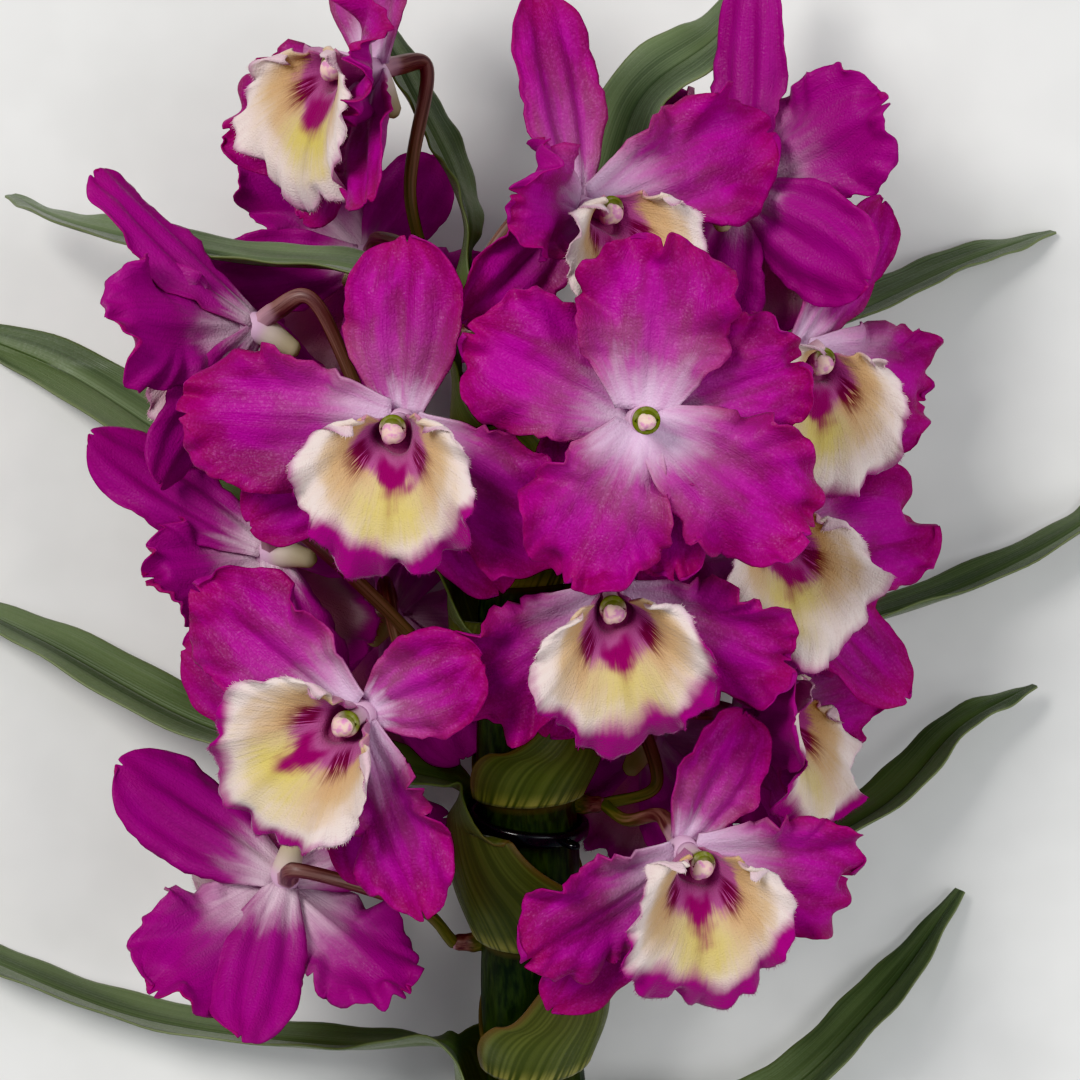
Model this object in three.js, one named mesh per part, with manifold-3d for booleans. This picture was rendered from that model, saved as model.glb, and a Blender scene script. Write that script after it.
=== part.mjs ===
// Dendrobium orchid of the nobile kind: one leafy flowering cane, as cut, lying on a flat surface.
//
// Millimetres. X runs across the cane, Y along it towards its tip, Z up from the surface it lies on.
// The cut end of the cane rests on the surface, and the flowers on its upper side look up.
// Each flower has two nodes, its sepals and petals with the column in one and its lip in the other.
// Each leaf is one node with the sheath that clasps the cane, and each flower stalk is one node.

import * as THREE from "three";
import { mergeVertices } from "three/addons/utils/BufferGeometryUtils.js";
import Module from "manifold-3d";

const wasm = await Module();
wasm.setup();

// Driving dimensions.

const SEPAL_LENGTH = 37;
const SEPAL_WIDTH = 19;
const PETAL_LENGTH = 40;
const PETAL_WIDTH = 27;
const TEPAL_THICKNESS = 0.8;
const TEPAL_WAVE = 1.9; // how far a margin waves off the blade
const WAVES = 1.9; // waves along one margin

const LIP_THROAT = 5; // radius of the tube round the column
const LIP_THROAT_DROP = 2.2; // how far the tube's middle lies below the column
const LIP_RADIUS = 17;
const LIP_DROP = 11.5; // how far the middle of the lip's mouth lies below the column
const LIP_BACK = 2.4; // where the lip starts, in front of the flower's centre
const LIP_DEPTH = 11;
const LIP_WRAP = 150; // degrees each side of the middle lobe that the lip wraps
const LIP_RUFFLE = 1.2;
const LIP_THICKNESS = 0.8;

const COLUMN_RADIUS = 2.5;
const COLUMN_LENGTH = 9;
const HEART_RADIUS = 5.4; // the boss that sepals, petals and column grow from

const CANE_NODES = [-155, -132, -108, -81, -52, -30, -9, 12, 29, 43, 55]; // Y of each ring
const CANE_RADII = [9.2, 10.2, 10.6, 10.6, 10.4, 9.8, 8.8, 7.4, 5.8, 4.4, 2.6];
const CANE_WAIST = 0.92; // the cane's girth at a ring, as a share of its girth between rings

const SHEATH_GAP = 3.1; // from the cane to the middle of a sheath's wall, above its foot
const SHEATH_FLARE = 1.9; // how much wider the sheath is at its mouth
const SHEATH_WRAP = 160; // degrees each side that a sheath wraps round the cane at its foot
const LEAF_THICKNESS = 0.9;
const STALK_RADIUS = 1.3;
const OVARY_RADIUS = 2.1;
const STALK_END = 7.8; // where a stalk stops, behind the flower's centre

const GAP = 0.35; // between pieces that touch on the plant

// Added to every position below, so that the origin is under the middle of the whole plant.
const SHIFT = [3.3, 13.62, 0];

const COLOURS = {
  petal: { color: 0xa8128f, roughness: 0.55 },
  lip: { color: 0xefe3c0, roughness: 0.7 },
  leaf: { color: 0x3f5a32, roughness: 0.5 },
  cane: { color: 0x24371a, roughness: 0.5 },
  stalk: { color: 0x6b5347, roughness: 0.55 },
  clip: { color: 0x101112, roughness: 0.3 },
};

// Flowers. at: the centre, where the column stands. faces: the way the flower looks. up: the way its top sepal points.
// tepals: the top sepal, right petal, left petal, right sepal and left sepal, each with its degrees round the face
// from the flower's own right, length, width, and the degrees it tips forward at its root.

const USUAL_TEPALS = [
  [90, SEPAL_LENGTH, SEPAL_WIDTH, 2],
  [8, PETAL_LENGTH, PETAL_WIDTH, 8],
  [172, PETAL_LENGTH, PETAL_WIDTH, 8],
  [-44, SEPAL_LENGTH, SEPAL_WIDTH, -6],
  [224, SEPAL_LENGTH, SEPAL_WIDTH, -6],
];

const FLOWERS = [
  {
    at: [-26.4, 21.6, 92.6], faces: [-0.12, -0.12, 1], up: [0.04, 1, 0],
    tepals: [[90, 35, 23, 4], [-35, 40, 25, 6], [180, 42, 27.8, 6], [-60, 38, 17, -5], [215, 37.4, 19, -6]],
  },
  {
    at: [-34.7, -33.7, 84.1], faces: [-0.22, -0.11, 0.96], up: [0.82, 0.57, 0],
    tepals: [[80, 27, 21, 10], [-15, 40.2, 19, 12], [198, 40, 25, 6], [-38, 36, 17, -8], [219, 40.2, 24, -6]],
  },
  { at: [19, 22.2, 104.7], faces: [0.04, -0.06, 0.95], up: [0, 1, 0], peloric: true },
  {
    at: [13.3, -10.8, 85.3], faces: [0.05, -0.28, 0.97], up: [-0.18, 1.03, 0.3],
    tepals: [[91, 36, 20.1, 2], [-32, 38.8, 24, 10], [210, 37, 27, 4], [-60, 32.8, 16, -7], [241, 34, 16, -8]],
  },
  {
    at: [28.5, -60.6, 73.6], faces: [0.32, -0.17, 0.89], up: [0.09, 1.01, 0.01],
    tepals: [[74, 29.8, 18.2, 11], [-6, 39, 24, 9], [219, 37.6, 24, 4], [-36, 34, 17, -6], [241, 41, 18, -6]],
  },
  {
    at: [9.3, 63.5, 74.7], faces: [0.57, -0.04, 0.81], up: [-0.11, 0.99, 0],
    tepals: [[96, 43, 19, -1], [19, 44.1, 28, 18], [172, 32, 24, 40], [-46, 36.4, 17.9, -4], [216, 34, 18, 5]],
  },
  {
    at: [-35.2, 92.4, 61], faces: [-0.75, 0.05, 0.66], up: [0.11, 1.01, 0.02],
    tepals: [[92, 36.8, 27, 10], [0, 30, 24, 46], [200, 37.6, 25.8, 16], [-52, 38, 19, 30], [238, 35, 18, 4]],
  },
  {
    at: [-59.6, 42.1, 50.7], faces: [-0.93, -0.2, -0.31], up: [-0.09, 0.84, 0.47],
    tepals: [[89, 44.4, 19, 32], [35, 35.9, 27, 30], [175, 39.9, 24, 44], [-30, 38.9, 18, 39], [224, 36.1, 18, 9]],
  },
  {
    at: [51.7, 35.9, 55.1], faces: [0.53, -0.07, 0.83], up: [0.15, 1.04, -0.12],
    tepals: [[66, 40, 15, 6], [-2, 39, 28, 2], [196, 30, 20, 25], [-54, 34, 17, -6], [232, 32.3, 17.1, -8]],
  },
  {
    at: [43.5, -0.9, 57], faces: [0.43, 0.29, 0.76], up: [0.02, 1.02, -0.24],
    tepals: [[85, 34, 17, 4], [12, 40.8, 26.7, 13], [188, 31.5, 23.2, 3], [-40, 43.7, 20, 7], [231, 33.1, 17, -7]],
  },
  {
    at: [43.2, -35, 43.4], faces: [0.95, 0.18, 0.38], up: [0.17, 0.57, -0.24],
    tepals: [[90, 40, 18.7, 55], [34, 31.4, 23.1, 52], [166, 28.5, 22, 29], [-44, 34.5, 15.7, 11], [212, 42, 22.1, 40]],
  },
  {
    at: [-52.2, -69.4, 43.1], faces: [-0.28, -0.47, -0.88], up: [-0.2, -0.95, 0],
    tepals: [[98, 37, 19, 1], [37, 34, 24, 0], [128, 37.8, 28, 0], [-30, 36, 18, -3], [202, 40.6, 22, -4]],
  },
  {
    at: [-54.9, -3.3, 47.7], faces: [-0.38, -0.35, -0.81], up: [-0.88, 0.46, 0],
    tepals: [[90, 43, 17, 6], [45, 26.8, 22, 3], [173, 35.8, 26, -1], [-44, 36, 18, -4], [227, 33, 18, -10]],
  },
  {
    at: [40.9, 70.4, 46.9], faces: [0.51, 0.1, -0.86], up: [0.1, 1.02, 0.06],
    tepals: [[90, 43.1, 16, 8], [20, 33.9, 26, 9], [148, 35.9, 28, 7], [-80, 34.4, 21.6, -1], [206, 36, 22.7, -1]],
  },
  { at: [-31.3, -16.8, 18.5], faces: [0.1, -0.3, -0.96], up: [0.3, 1, 0] },
  { at: [23.5, -41.6, 21.3], faces: [0.29, -0.1, -1.07], up: [0.4, 1, 0] },
  {
    at: [-36, 58.6, 19.5], faces: [-0.08, -0.01, -0.97], up: [0.57, 0.82, 0],
    tepals: [[90, 26, 17, 11], [10, 34.5, 24, 8], [172, 33.8, 24, 7], [-44, 34, 18, -4], [224, 33.9, 18.1, -7]],
  },
];

// The peloric flower has a plain petal where the others have a lip: three sepals, then three petals.
const PELORIC_TEPALS = [
  [153, 36, 28, 2],
  [20, 33, 25, 2],
  [-78, 30, 20, 0],
  [84, 34, 32, 12],
  [-34, 37, 28, 12],
  [-116, 33, 28, 12],
];

// Leaves, from the lowest up, on alternate sides. ring: the index in CANE_NODES that the sheath grows from.
// path: where the blade passes after it leaves the cane, ending at its tip. face: the way its upper face looks there.

const LEAVES = [
  {
    ring: 0, side: 1, width: 16, face: [-0.6, 0.6, 0.53],
    path: [[18.2, -122.2, 16.7], [46.9, -119, 13.9], [71, -98.2, 10.7], [90, -75, 3]],
  },
  {
    ring: 1, side: -1, width: 15, face: [0.25, 0.93, 0.28],
    path: [[-20.4, -103.8, 28.1], [-43.6, -105.5, 18.9], [-83.5, -101.3, 10.9], [-116.2, -89.7, 7.1], [-132, -83, 1]],
  },
  {
    ring: 2, side: 1, width: 16, face: [-0.47, 0.8, 0.37],
    path: [[18.9, -80.2, 34.1], [38.4, -71.7, 28.8], [70.9, -55.8, 19.9], [88.3, -39.3, 13.6], [105, -31, 8]],
  },
  {
    ring: 3, side: -1, width: 16, face: [0.28, 0.75, 0.6],
    path: [[-16.5, -49.9, 38.4], [-38.6, -45.1, 32.8], [-69.8, -38.4, 23.2], [-105, -21.3, 10], [-129, -11, 0.6]],
  },
  {
    ring: 4, side: 1, width: 16, face: [-0.47, 0.82, 0.33],
    path: [[13.8, -30.8, 45], [35.7, -25.1, 37.7], [61.5, -18.2, 26.7], [89.7, -9.7, 13.2], [115.5, 3.6, 7.5], [125, 15, 0.6]],
  },
  {
    ring: 5, side: -1, width: 19, face: [0.28, 0.56, 0.78],
    path: [[-19.6, -6.3, 50.1], [-34.2, 0, 34.1], [-63.7, 12.5, 21.7], [-101.2, 35.8, 1.6], [-127, 46, -1.2]],
  },
  {
    ring: 6, side: 1, width: 17, face: [-0.35, 0.82, 0.45],
    path: [[12.3, 18.9, 49.8], [32.4, 32.6, 39.5], [66.9, 48.1, 21.2], [89.8, 58.9, 8.9], [110, 66, 0.6]],
  },
  {
    ring: 7, side: -1, width: 16, face: [0.35, 0.84, 0.42],
    path: [[-18.3, 37.9, 54.1], [-34.4, 53.1, 53.4], [-61.5, 57.1, 41.9], [-94.2, 64.4, 33.3], [-111, 72, 18]],
  },
  {
    ring: 8, side: 1, width: 17, face: [-0.5, 0.33, 0.8],
    path: [[-2.8, 52.4, 54], [11, 64.7, 53], [20.1, 89.2, 44.3], [36.2, 103, 38.9], [50, 122, 24]],
  },
  {
    ring: 9, side: -1, width: 15, face: [0.85, 0.3, 0.43],
    path: [[-14.2, 62.1, 53.2], [-18.1, 74.5, 46.6], [-24.9, 88.2, 44.1], [-33, 103.3, 42.2], [-43, 119, 34]],
  },
];

// Flower stalks: the ring that each breaks from below, its side, the degrees it starts round towards the top,
// and the flowers it carries, by their place in FLOWERS, each with a point that its stalk bends by.
const STALKS = [
  { ring: 3, side: -1, turn: 0, flowers: [[11, [-24.5, -74, 45.7]]] },
  { ring: 4, side: 1, turn: 0, flowers: [[4, [17.2, -56.1, 48.5]], [15, [23.6, -50.1, 37.3]]] },
  {
    ring: 5, side: -1, turn: 0,
    flowers: [[1, [-21.9, -19.7, 52.3]], [12, [-23, -22.5, 46.7]], [14, [-26.1, -25.9, 46.2]]],
  },
  {
    ring: 6, side: 1, turn: 0,
    flowers: [[3, [14, -13.4, 54.2]], [9, [21.5, 6.4, 48.1]], [10, [18.7, -27.7, 60.2]]],
  },
  { ring: 7, side: -1, turn: 0, flowers: [[0, [-24.5, 19, 63.5]], [7, [-32.7, 23.5, 49.2]]] },
  { ring: 8, side: 1, turn: 30, flowers: [[2, [10.7, 25.2, 62.3]], [8, [19.9, 27.2, 48.8]]] },
  { ring: 9, side: -1, turn: 0, flowers: [[6, [-25.5, 66.9, 60.7]], [16, [-24.7, 57.3, 45.6]]] },
  { ring: 10, side: 1, turn: 20, flowers: [[5, [-11.1, 53.1, 62.4]], [13, [-2, 60.6, 33]]] },
];

const vector = (list) => new THREE.Vector3(...list);
const radians = THREE.MathUtils.degToRad;
const mix = THREE.MathUtils.lerp;
const smooth = THREE.MathUtils.smoothstep;

// The sum of each direction times its amount.
function along(start, ...pairs) {
  const point = start.clone();
  for (const [direction, amount] of pairs) point.addScaledVector(direction, amount);
  return point;
}

// Solids.

function solidOf(geometry) {
  const bare = geometry.clone();
  bare.deleteAttribute("normal");
  bare.deleteAttribute("uv");
  const merged = mergeVertices(bare, 1e-4);
  const mesh = new wasm.Mesh({
    numProp: 3,
    vertProperties: merged.attributes.position.array,
    triVerts: new Uint32Array(merged.index.array),
  });
  return new wasm.Manifold(mesh);
}

function geometryOf(solid) {
  const mesh = solid.getMesh();
  const geometry = new THREE.BufferGeometry();
  geometry.setAttribute("position", new THREE.BufferAttribute(mesh.vertProperties, 3));
  geometry.setIndex(new THREE.BufferAttribute(mesh.triVerts, 1));
  return geometry;
}

// One solid of several that overlap, with the slivers along their seams taken out and no hollow left inside.
function joined(geometries) {
  const SEAM = 0.04;
  const whole = geometries.map(solidOf).reduce((all, one) => all.add(one)).simplify(SEAM);
  return geometryOf(whole.decompose().sort((a, b) => b.volume() - a.volume())[0]);
}

function indexed(points, faces) {
  const geometry = new THREE.BufferGeometry();
  geometry.setFromPoints(points);
  geometry.setIndex(faces.flat());
  return geometry;
}

// A thin blade over surface(u, v), with u from its root to its tip and v from -1 to 1 across.
// Both faces are split the same way, and what would dip below Z 0 lies flat on the surface.
function blade(surface, rowPlaces, columns, thickness) {
  const STEP = 1e-3;
  const front = [];
  const back = [];
  for (const u of rowPlaces) {
    for (let j = 0; j <= columns; j++) {
      const v = -1 + (2 * j) / columns;
      const du = surface(Math.min(u + STEP, 1), v).sub(surface(Math.max(u - STEP, 0), v));
      const dv = surface(u, v + STEP).sub(surface(u, v - STEP));
      const half = du.cross(dv).normalize().multiplyScalar(thickness / 2);
      const middle = surface(u, v);
      const low = middle.z - Math.abs(half.z);
      if (low < 0) middle.z -= low;
      front.push(middle.clone().add(half));
      back.push(middle.clone().sub(half));
    }
  }
  const width = columns + 1;
  const count = front.length;
  const faces = [];
  const quad = (a, b, c, d) => faces.push([a, b, c], [a, c, d]);
  for (let i = 0; i + 1 < rowPlaces.length; i++) {
    for (let j = 0; j < columns; j++) {
      const a = i * width + j;
      quad(a, a + width, a + width + 1, a + 1);
      faces.push([count + a, count + a + width + 1, count + a + width]);
      faces.push([count + a, count + a + 1, count + a + width + 1]);
    }
  }
  const rim = [];
  for (let j = 0; j < columns; j++) rim.push(j);
  for (let i = 0; i + 1 < rowPlaces.length; i++) rim.push(i * width + columns);
  for (let j = columns; j > 0; j--) rim.push((rowPlaces.length - 1) * width + j);
  for (let i = rowPlaces.length - 1; i > 0; i--) rim.push(i * width);
  rim.forEach((a, k) => {
    const b = rim[(k + 1) % rim.length];
    quad(a, b, count + b, count + a);
  });
  return indexed([...front, ...back], faces);
}

// A closed tube round a line of centres, one radius each.
function tube(centres, radii, sides) {
  const points = [];
  const faces = [];
  let across = null;
  centres.forEach((centre, i) => {
    const ahead = centres[Math.min(i + 1, centres.length - 1)];
    const behind = centres[Math.max(i - 1, 0)];
    const tangent = ahead.clone().sub(behind).normalize();
    if (!across) across = Math.abs(tangent.z) < 0.8 ? new THREE.Vector3(0, 0, 1) : new THREE.Vector3(1, 0, 0);
    across = across.clone().addScaledVector(tangent, -across.dot(tangent)).normalize();
    const other = tangent.clone().cross(across);
    for (let k = 0; k < sides; k++) {
      const turn = (2 * Math.PI * k) / sides;
      points.push(along(centre, [across, radii[i] * Math.cos(turn)], [other, radii[i] * Math.sin(turn)]));
    }
  });
  for (let i = 0; i + 1 < centres.length; i++) {
    for (let k = 0; k < sides; k++) {
      const a = i * sides + k;
      const b = i * sides + ((k + 1) % sides);
      faces.push([a, b, b + sides], [a, b + sides, a + sides]);
    }
  }
  const last = (centres.length - 1) * sides;
  for (let k = 1; k + 1 < sides; k++) faces.push([0, k + 1, k], [last, last + k, last + k + 1]);
  return indexed(points, faces);
}

// Flowers.

function faceFrame(flower) {
  const centre = vector(flower.at);
  const facing = vector(flower.faces).normalize();
  const top = vector(flower.up);
  top.addScaledVector(facing, -top.dot(facing)).normalize();
  return { centre, facing, top, right: top.clone().cross(facing) };
}

// Half the width of a sepal or petal along its length, as a share of its widest.
function outline(u, widest) {
  const root = 0.34;
  const tip = 0.1;
  if (u < widest) return root + (1 - root) * Math.sin((Math.PI / 2) * (u / widest)) ** 1.2;
  const past = (u - widest) / (1 - widest);
  return tip + (1 - tip) * Math.sqrt(Math.max(0, 1 - past ** 2.4));
}

function tepalSurface(frame, tepal, phase) {
  const turn = radians(tepal.angle);
  const out = along(new THREE.Vector3(), [frame.right, Math.cos(turn)], [frame.top, Math.sin(turn)]);
  const side = frame.facing.clone().cross(out);
  const lean = radians(tepal.lean);
  const curl = radians(tepal.curl);
  const root = along(frame.centre, [frame.facing, tepal.root], [out, 2.5]);
  return (u, v) => {
    // The midrib is an arc that starts at the lean and turns by the curl.
    const run = (tepal.length * (Math.sin(lean + curl * u) - Math.sin(lean))) / curl;
    const rise = (tepal.length * (Math.cos(lean) - Math.cos(lean + curl * u))) / curl;
    const slope = lean + curl * u;
    const normal = along(new THREE.Vector3(), [frame.facing, Math.cos(slope)], [out, -Math.sin(slope)]);
    const half = (tepal.width / 2) * outline(u, tepal.widest);
    const wave = TEPAL_WAVE * tepal.wavy * v * v * smooth(u, 0.15, 0.6);
    const swing = Math.sin(2 * Math.PI * WAVES * u + phase + (v > 0 ? 0 : 2.4));
    const cup = 0.09 * tepal.cup * half * v * v;
    return along(root, [out, run], [frame.facing, rise], [side, half * v], [normal, cup + wave * swing]);
  };
}

// Petals are broad, wavy and stand in front of the sepals.
function tepalsOf(flower) {
  const rows = flower.peloric ? PELORIC_TEPALS : flower.tepals ?? USUAL_TEPALS;
  return rows.map(([angle, length, width, lean], i) => {
    const petal = flower.peloric ? i > 2 : i === 1 || i === 2;
    const broad = petal || flower.peloric;
    return {
      angle,
      length: length - 2.5,
      width,
      lean,
      root: petal ? -1 : -3.6,
      curl: petal ? -16 : -10,
      widest: broad ? 0.6 : 0.52,
      wavy: broad ? 1 : 0.35,
      cup: broad ? 1 : 2,
      columns: petal ? 3 : 2,
    };
  });
}

// Rows close up towards the tip, where the outline is round.
const tepalRows = (count) => Array.from({ length: count + 1 }, (_, i) => Math.sin((Math.PI / 2) * (i / count)));

// The boss behind the face, drawn out below into a blunt chin, and the column.
function heart(frame) {
  const front = (amount, drop = 0) => along(frame.centre, [frame.facing, amount], [frame.top, -drop]);
  const boss = tube([front(-9, 7), front(-3.6, 0.8), front(1.6)], [1.9, HEART_RADIUS, HEART_RADIUS * 0.94], 7);
  const column = tube(
    [front(0), front(COLUMN_LENGTH - 2.2), front(COLUMN_LENGTH, -0.4)],
    [COLUMN_RADIUS * 0.95, COLUMN_RADIUS, COLUMN_RADIUS * 0.6],
    5,
  );
  return [boss, column];
}

function tepalsGeometry(flower, index) {
  const frame = faceFrame(flower);
  const blades = tepalsOf(flower).map((tepal, i) => {
    const surface = tepalSurface(frame, tepal, index * 1.7 + i * 2.3);
    return blade(surface, tepalRows(tepal.columns + 1), tepal.columns, TEPAL_THICKNESS);
  });
  return joined([...heart(frame), ...blades]);
}

// The lip is a wide ruffled trumpet, slit above: u runs from its tube to its margin and v round it.
function lipSurface(frame, size, phase) {
  return (u, v) => {
    const turn = radians(LIP_WRAP) * v;
    const low = Math.max(0, Math.cos(turn));
    const flare = smooth(u, 0.1, 1.25) / smooth(1, 0.1, 1.25);
    const radius = mix(LIP_THROAT, LIP_RADIUS * size, flare);
    const drop = mix(LIP_THROAT_DROP, LIP_DROP * size, flare);
    const depth = LIP_DEPTH * Math.sin((Math.PI / 2) * Math.min(1, u * 1.1)) ** 0.9;
    const lift = 3 * Math.sin(turn) ** 2 * u ** 2 - 4.5 * low ** 2 * u ** 3;
    const ruffle = LIP_RUFFLE * u ** 4 * Math.sin(15 * v + phase);
    return along(
      frame.centre,
      [frame.right, radius * Math.sin(turn)],
      [frame.top, -drop - radius * Math.cos(turn)],
      [frame.facing, LIP_BACK + depth + lift + ruffle],
    );
  };
}

function lipGeometry(flower, index) {
  const surface = lipSurface(faceFrame(flower), flower.size ?? 1, index * 1.3);
  return blade(surface, [0, 0.4, 0.76, 1], 10, LIP_THICKNESS);
}

// The cane, its sheathed leaves and its flower stalks.

const CANE_AXIS = new THREE.CatmullRomCurve3(
  [
    [1, -158, 10.5],
    [0, -130, 16],
    [-1.5, -100, 26],
    [-2.5, -60, 39],
    [-3.5, -15, 47],
    [-6, 25, 50],
    [-10, 60, 52],
  ].map(vector),
  false,
  "catmullrom",
  0.5,
);

// The cane's centre, girth and direction at a height Y along it.
function caneAt(y) {
  let low = 0;
  let high = 1;
  for (let k = 0; k < 40; k++) {
    const middle = (low + high) / 2;
    if (CANE_AXIS.getPoint(middle).y < y) low = middle;
    else high = middle;
  }
  const ring = Math.max(0, CANE_NODES.findLastIndex((node) => node <= y));
  const next = Math.min(ring + 1, CANE_NODES.length - 1);
  const share = next === ring ? 0 : (y - CANE_NODES[ring]) / (CANE_NODES[next] - CANE_NODES[ring]);
  const swell = mix(CANE_WAIST, 1, Math.sin(Math.PI * Math.min(1, Math.max(0, share))) ** 0.6);
  return {
    centre: CANE_AXIS.getPoint(low),
    direction: CANE_AXIS.getTangent(low),
    radius: mix(CANE_RADII[ring], CANE_RADII[next], Math.min(1, Math.max(0, share))) * swell,
  };
}

function caneGeometry() {
  const heights = [];
  CANE_NODES.forEach((y, i) => {
    heights.push(y);
    if (i + 1 < CANE_NODES.length) {
      const next = CANE_NODES[i + 1];
      heights.push(mix(y, next, 0.25), mix(y, next, 0.75));
    }
  });
  const places = heights.map(caneAt);
  const tip = places[places.length - 1];
  const centres = places.map((place) => place.centre);
  const radii = places.map((place) => place.radius);
  centres.push(along(tip.centre, [tip.direction, 3]));
  radii.push(0.8);
  return tube(centres, radii, 10);
}

// How far the middle of a sheath's wall stands from the cane's axis, from its foot (share 0) to its mouth (1).
// The foot grips the cane, clear of it by the gap where the six flat sides come nearest.
function sheathRadius(y, share) {
  const { radius } = caneAt(y);
  const grip = (radius + 2.4 * GAP) / Math.cos(radians(SHEATH_WRAP / 6)) + LEAF_THICKNESS / 2;
  const loose = radius / CANE_WAIST + SHEATH_GAP + SHEATH_FLARE * share;
  return mix(grip, loose, smooth(share, 0, 0.4));
}

// The leaf's midline, the way its lower face looks, and how far and how tightly it curves round, from foot to tip.
function leafStations(leaf) {
  const foot = CANE_NODES[leaf.ring] + 1.2;
  const top = CANE_NODES[leaf.ring + 1] - 5;
  const sideward = new THREE.Vector3(leaf.side, 0, 0);
  const onCane = (share) => {
    const y = mix(foot, top, share);
    return along(caneAt(y).centre, [sideward, sheathRadius(y, share)]);
  };
  const points = [onCane(0), onCane(0.5), onCane(1), ...leaf.path.map(vector)];
  const midline = new THREE.CatmullRomCurve3(points, false, "catmullrom", 0.5);
  const sheath = 2 / (points.length - 1); // the share of the midline that lies on the cane
  const face = vector(leaf.face).normalize();
  return (u) => {
    const along01 = Math.max(0, (u - sheath) / (1 - sheath));
    const onSheath = Math.min(1, u / sheath);
    const y = mix(foot, top, onSheath);
    const tangent = midline.getTangent(Math.min(u, 0.9999));
    tangent.lerp(caneAt(y).direction, 1 - smooth(onSheath, 0, 0.9)).normalize();
    const turned = smooth(along01, 0, 0.45);
    const lower = along(new THREE.Vector3(), [sideward, 1 - turned], [face, -turned]);
    lower.addScaledVector(tangent, -lower.dot(tangent)).normalize();
    const round = sheathRadius(y, onSheath);
    const sheathHalf = round * radians(mix(SHEATH_WRAP, 78, onSheath));
    const swell = mix(0.62, 1, smooth(along01, 0.05, 0.45));
    const taper = Math.sqrt(Math.max(0, 1 - smooth(along01, 0.55, 1.04) ** 1.6));
    const bladeHalf = (leaf.width / 2) * Math.max(0.16, swell * taper);
    const leaving = smooth(along01, 0, 0.14);
    return {
      centre: midline.getPoint(u),
      lower,
      across: tangent.clone().cross(lower),
      radius: mix(round, leaf.width * 1.1, smooth(along01, 0, 0.3)),
      half: mix(sheathHalf, bladeHalf, leaving),
    };
  };
}

function leafSurface(leaf) {
  const station = leafStations(leaf);
  return (u, v) => {
    const { centre, lower, across, radius, half } = station(u);
    const turn = (half * v) / radius;
    return along(centre, [across, radius * Math.sin(turn)], [lower, -radius * (1 - Math.cos(turn))]);
  };
}

function leafGeometry(leaf) {
  const sheath = 2 / (leaf.path.length + 2);
  const rows = [0, 0.45 * sheath, 0.9 * sheath];
  for (let i = 0; i <= 5; i++) rows.push(mix(1.15 * sheath, 1, Math.sin((Math.PI / 2) * (i / 5)) ** 0.9));
  return blade(leafSurface(leaf), rows, 6, LEAF_THICKNESS);
}

// A short stem out from the cane, then a thin stalk to each flower that thickens into its ovary.
function stalkGeometry(stalk) {
  const place = caneAt(CANE_NODES[stalk.ring] - 1.6);
  const turn = radians(stalk.turn);
  const outward = new THREE.Vector3(stalk.side * Math.cos(turn), 0, Math.sin(turn));
  const start = along(place.centre, [outward, place.radius / CANE_WAIST + GAP]);
  const fork = along(start, [outward, 4.5]);
  const count = 6;
  const branches = stalk.flowers.map(([index, bend]) => {
    const frame = faceFrame(FLOWERS[index]);
    const end = along(frame.centre, [frame.facing, -STALK_END], [frame.top, 2]);
    const before = along(end, [frame.facing, -8], [frame.top, 1.5]);
    const route = new THREE.CatmullRomCurve3([fork, vector(bend), before, end], false, "centripetal");
    const centres = Array.from({ length: count + 1 }, (_, i) => route.getPoint(i / count));
    const radii = centres.map((_, i) => mix(STALK_RADIUS, OVARY_RADIUS, smooth(i / count, 0.6, 0.95)));
    return tube(centres, radii, 5);
  });
  const stem = tube([start, along(fork, [outward, 0.8])], [STALK_RADIUS * 1.5, STALK_RADIUS * 1.3], 6);
  return joined([stem, ...branches]);
}

// The plant clip: a snap ring that stands round the cane, a little askew, with a grip tab on its right.
const CLIP_HEIGHT = -57.2;
const CLIP_WALL = 2;
const CLIP_TALL = 3;
const CLIP_SKEW = 8; // degrees

function clipGeometry() {
  const place = caneAt(CLIP_HEIGHT);
  const inner = (place.radius + GAP) / Math.cos(radians(CLIP_SKEW));
  const profile = [
    [inner, -CLIP_TALL / 2],
    [inner + CLIP_WALL, -CLIP_TALL / 2],
    [inner + CLIP_WALL, CLIP_TALL / 2],
    [inner, CLIP_TALL / 2],
    [inner, -CLIP_TALL / 2],
  ].map(([x, y]) => new THREE.Vector2(x, y));
  const ring = new THREE.LatheGeometry(profile, 20);
  const tab = new THREE.BoxGeometry(5, CLIP_TALL * 0.8, 4.2).translate(inner + CLIP_WALL + 1.6, 0, 0);
  const geometry = joined([ring, tab]);
  const upright = new THREE.Quaternion().setFromUnitVectors(new THREE.Vector3(0, 1, 0), place.direction);
  geometry.rotateY(radians(-50)).rotateZ(radians(-CLIP_SKEW)).applyQuaternion(upright);
  return geometry.translate(...place.centre.toArray());
}

const plant = new THREE.Group();

function piece(name, geometry, colour) {
  geometry.translate(...SHIFT);
  const mesh = new THREE.Mesh(geometry, new THREE.MeshStandardMaterial({ ...COLOURS[colour], metalness: 0 }));
  mesh.name = name;
  plant.add(mesh);
}

const numbered = (name, index) => `${name}_${String(index + 1).padStart(2, "0")}`;

piece("cane", caneGeometry(), "cane");
piece("clip", clipGeometry(), "clip");
LEAVES.forEach((leaf, i) => piece(numbered("leaf", i), leafGeometry(leaf), "leaf"));
STALKS.forEach((stalk, i) => piece(numbered("stalk", i), stalkGeometry(stalk), "stalk"));
FLOWERS.forEach((flower, i) => {
  piece(numbered("flower", i), tepalsGeometry(flower, i), "petal");
  if (!flower.peloric) piece(numbered("lip", i), lipGeometry(flower, i), "lip");
});

export default plant;
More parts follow.
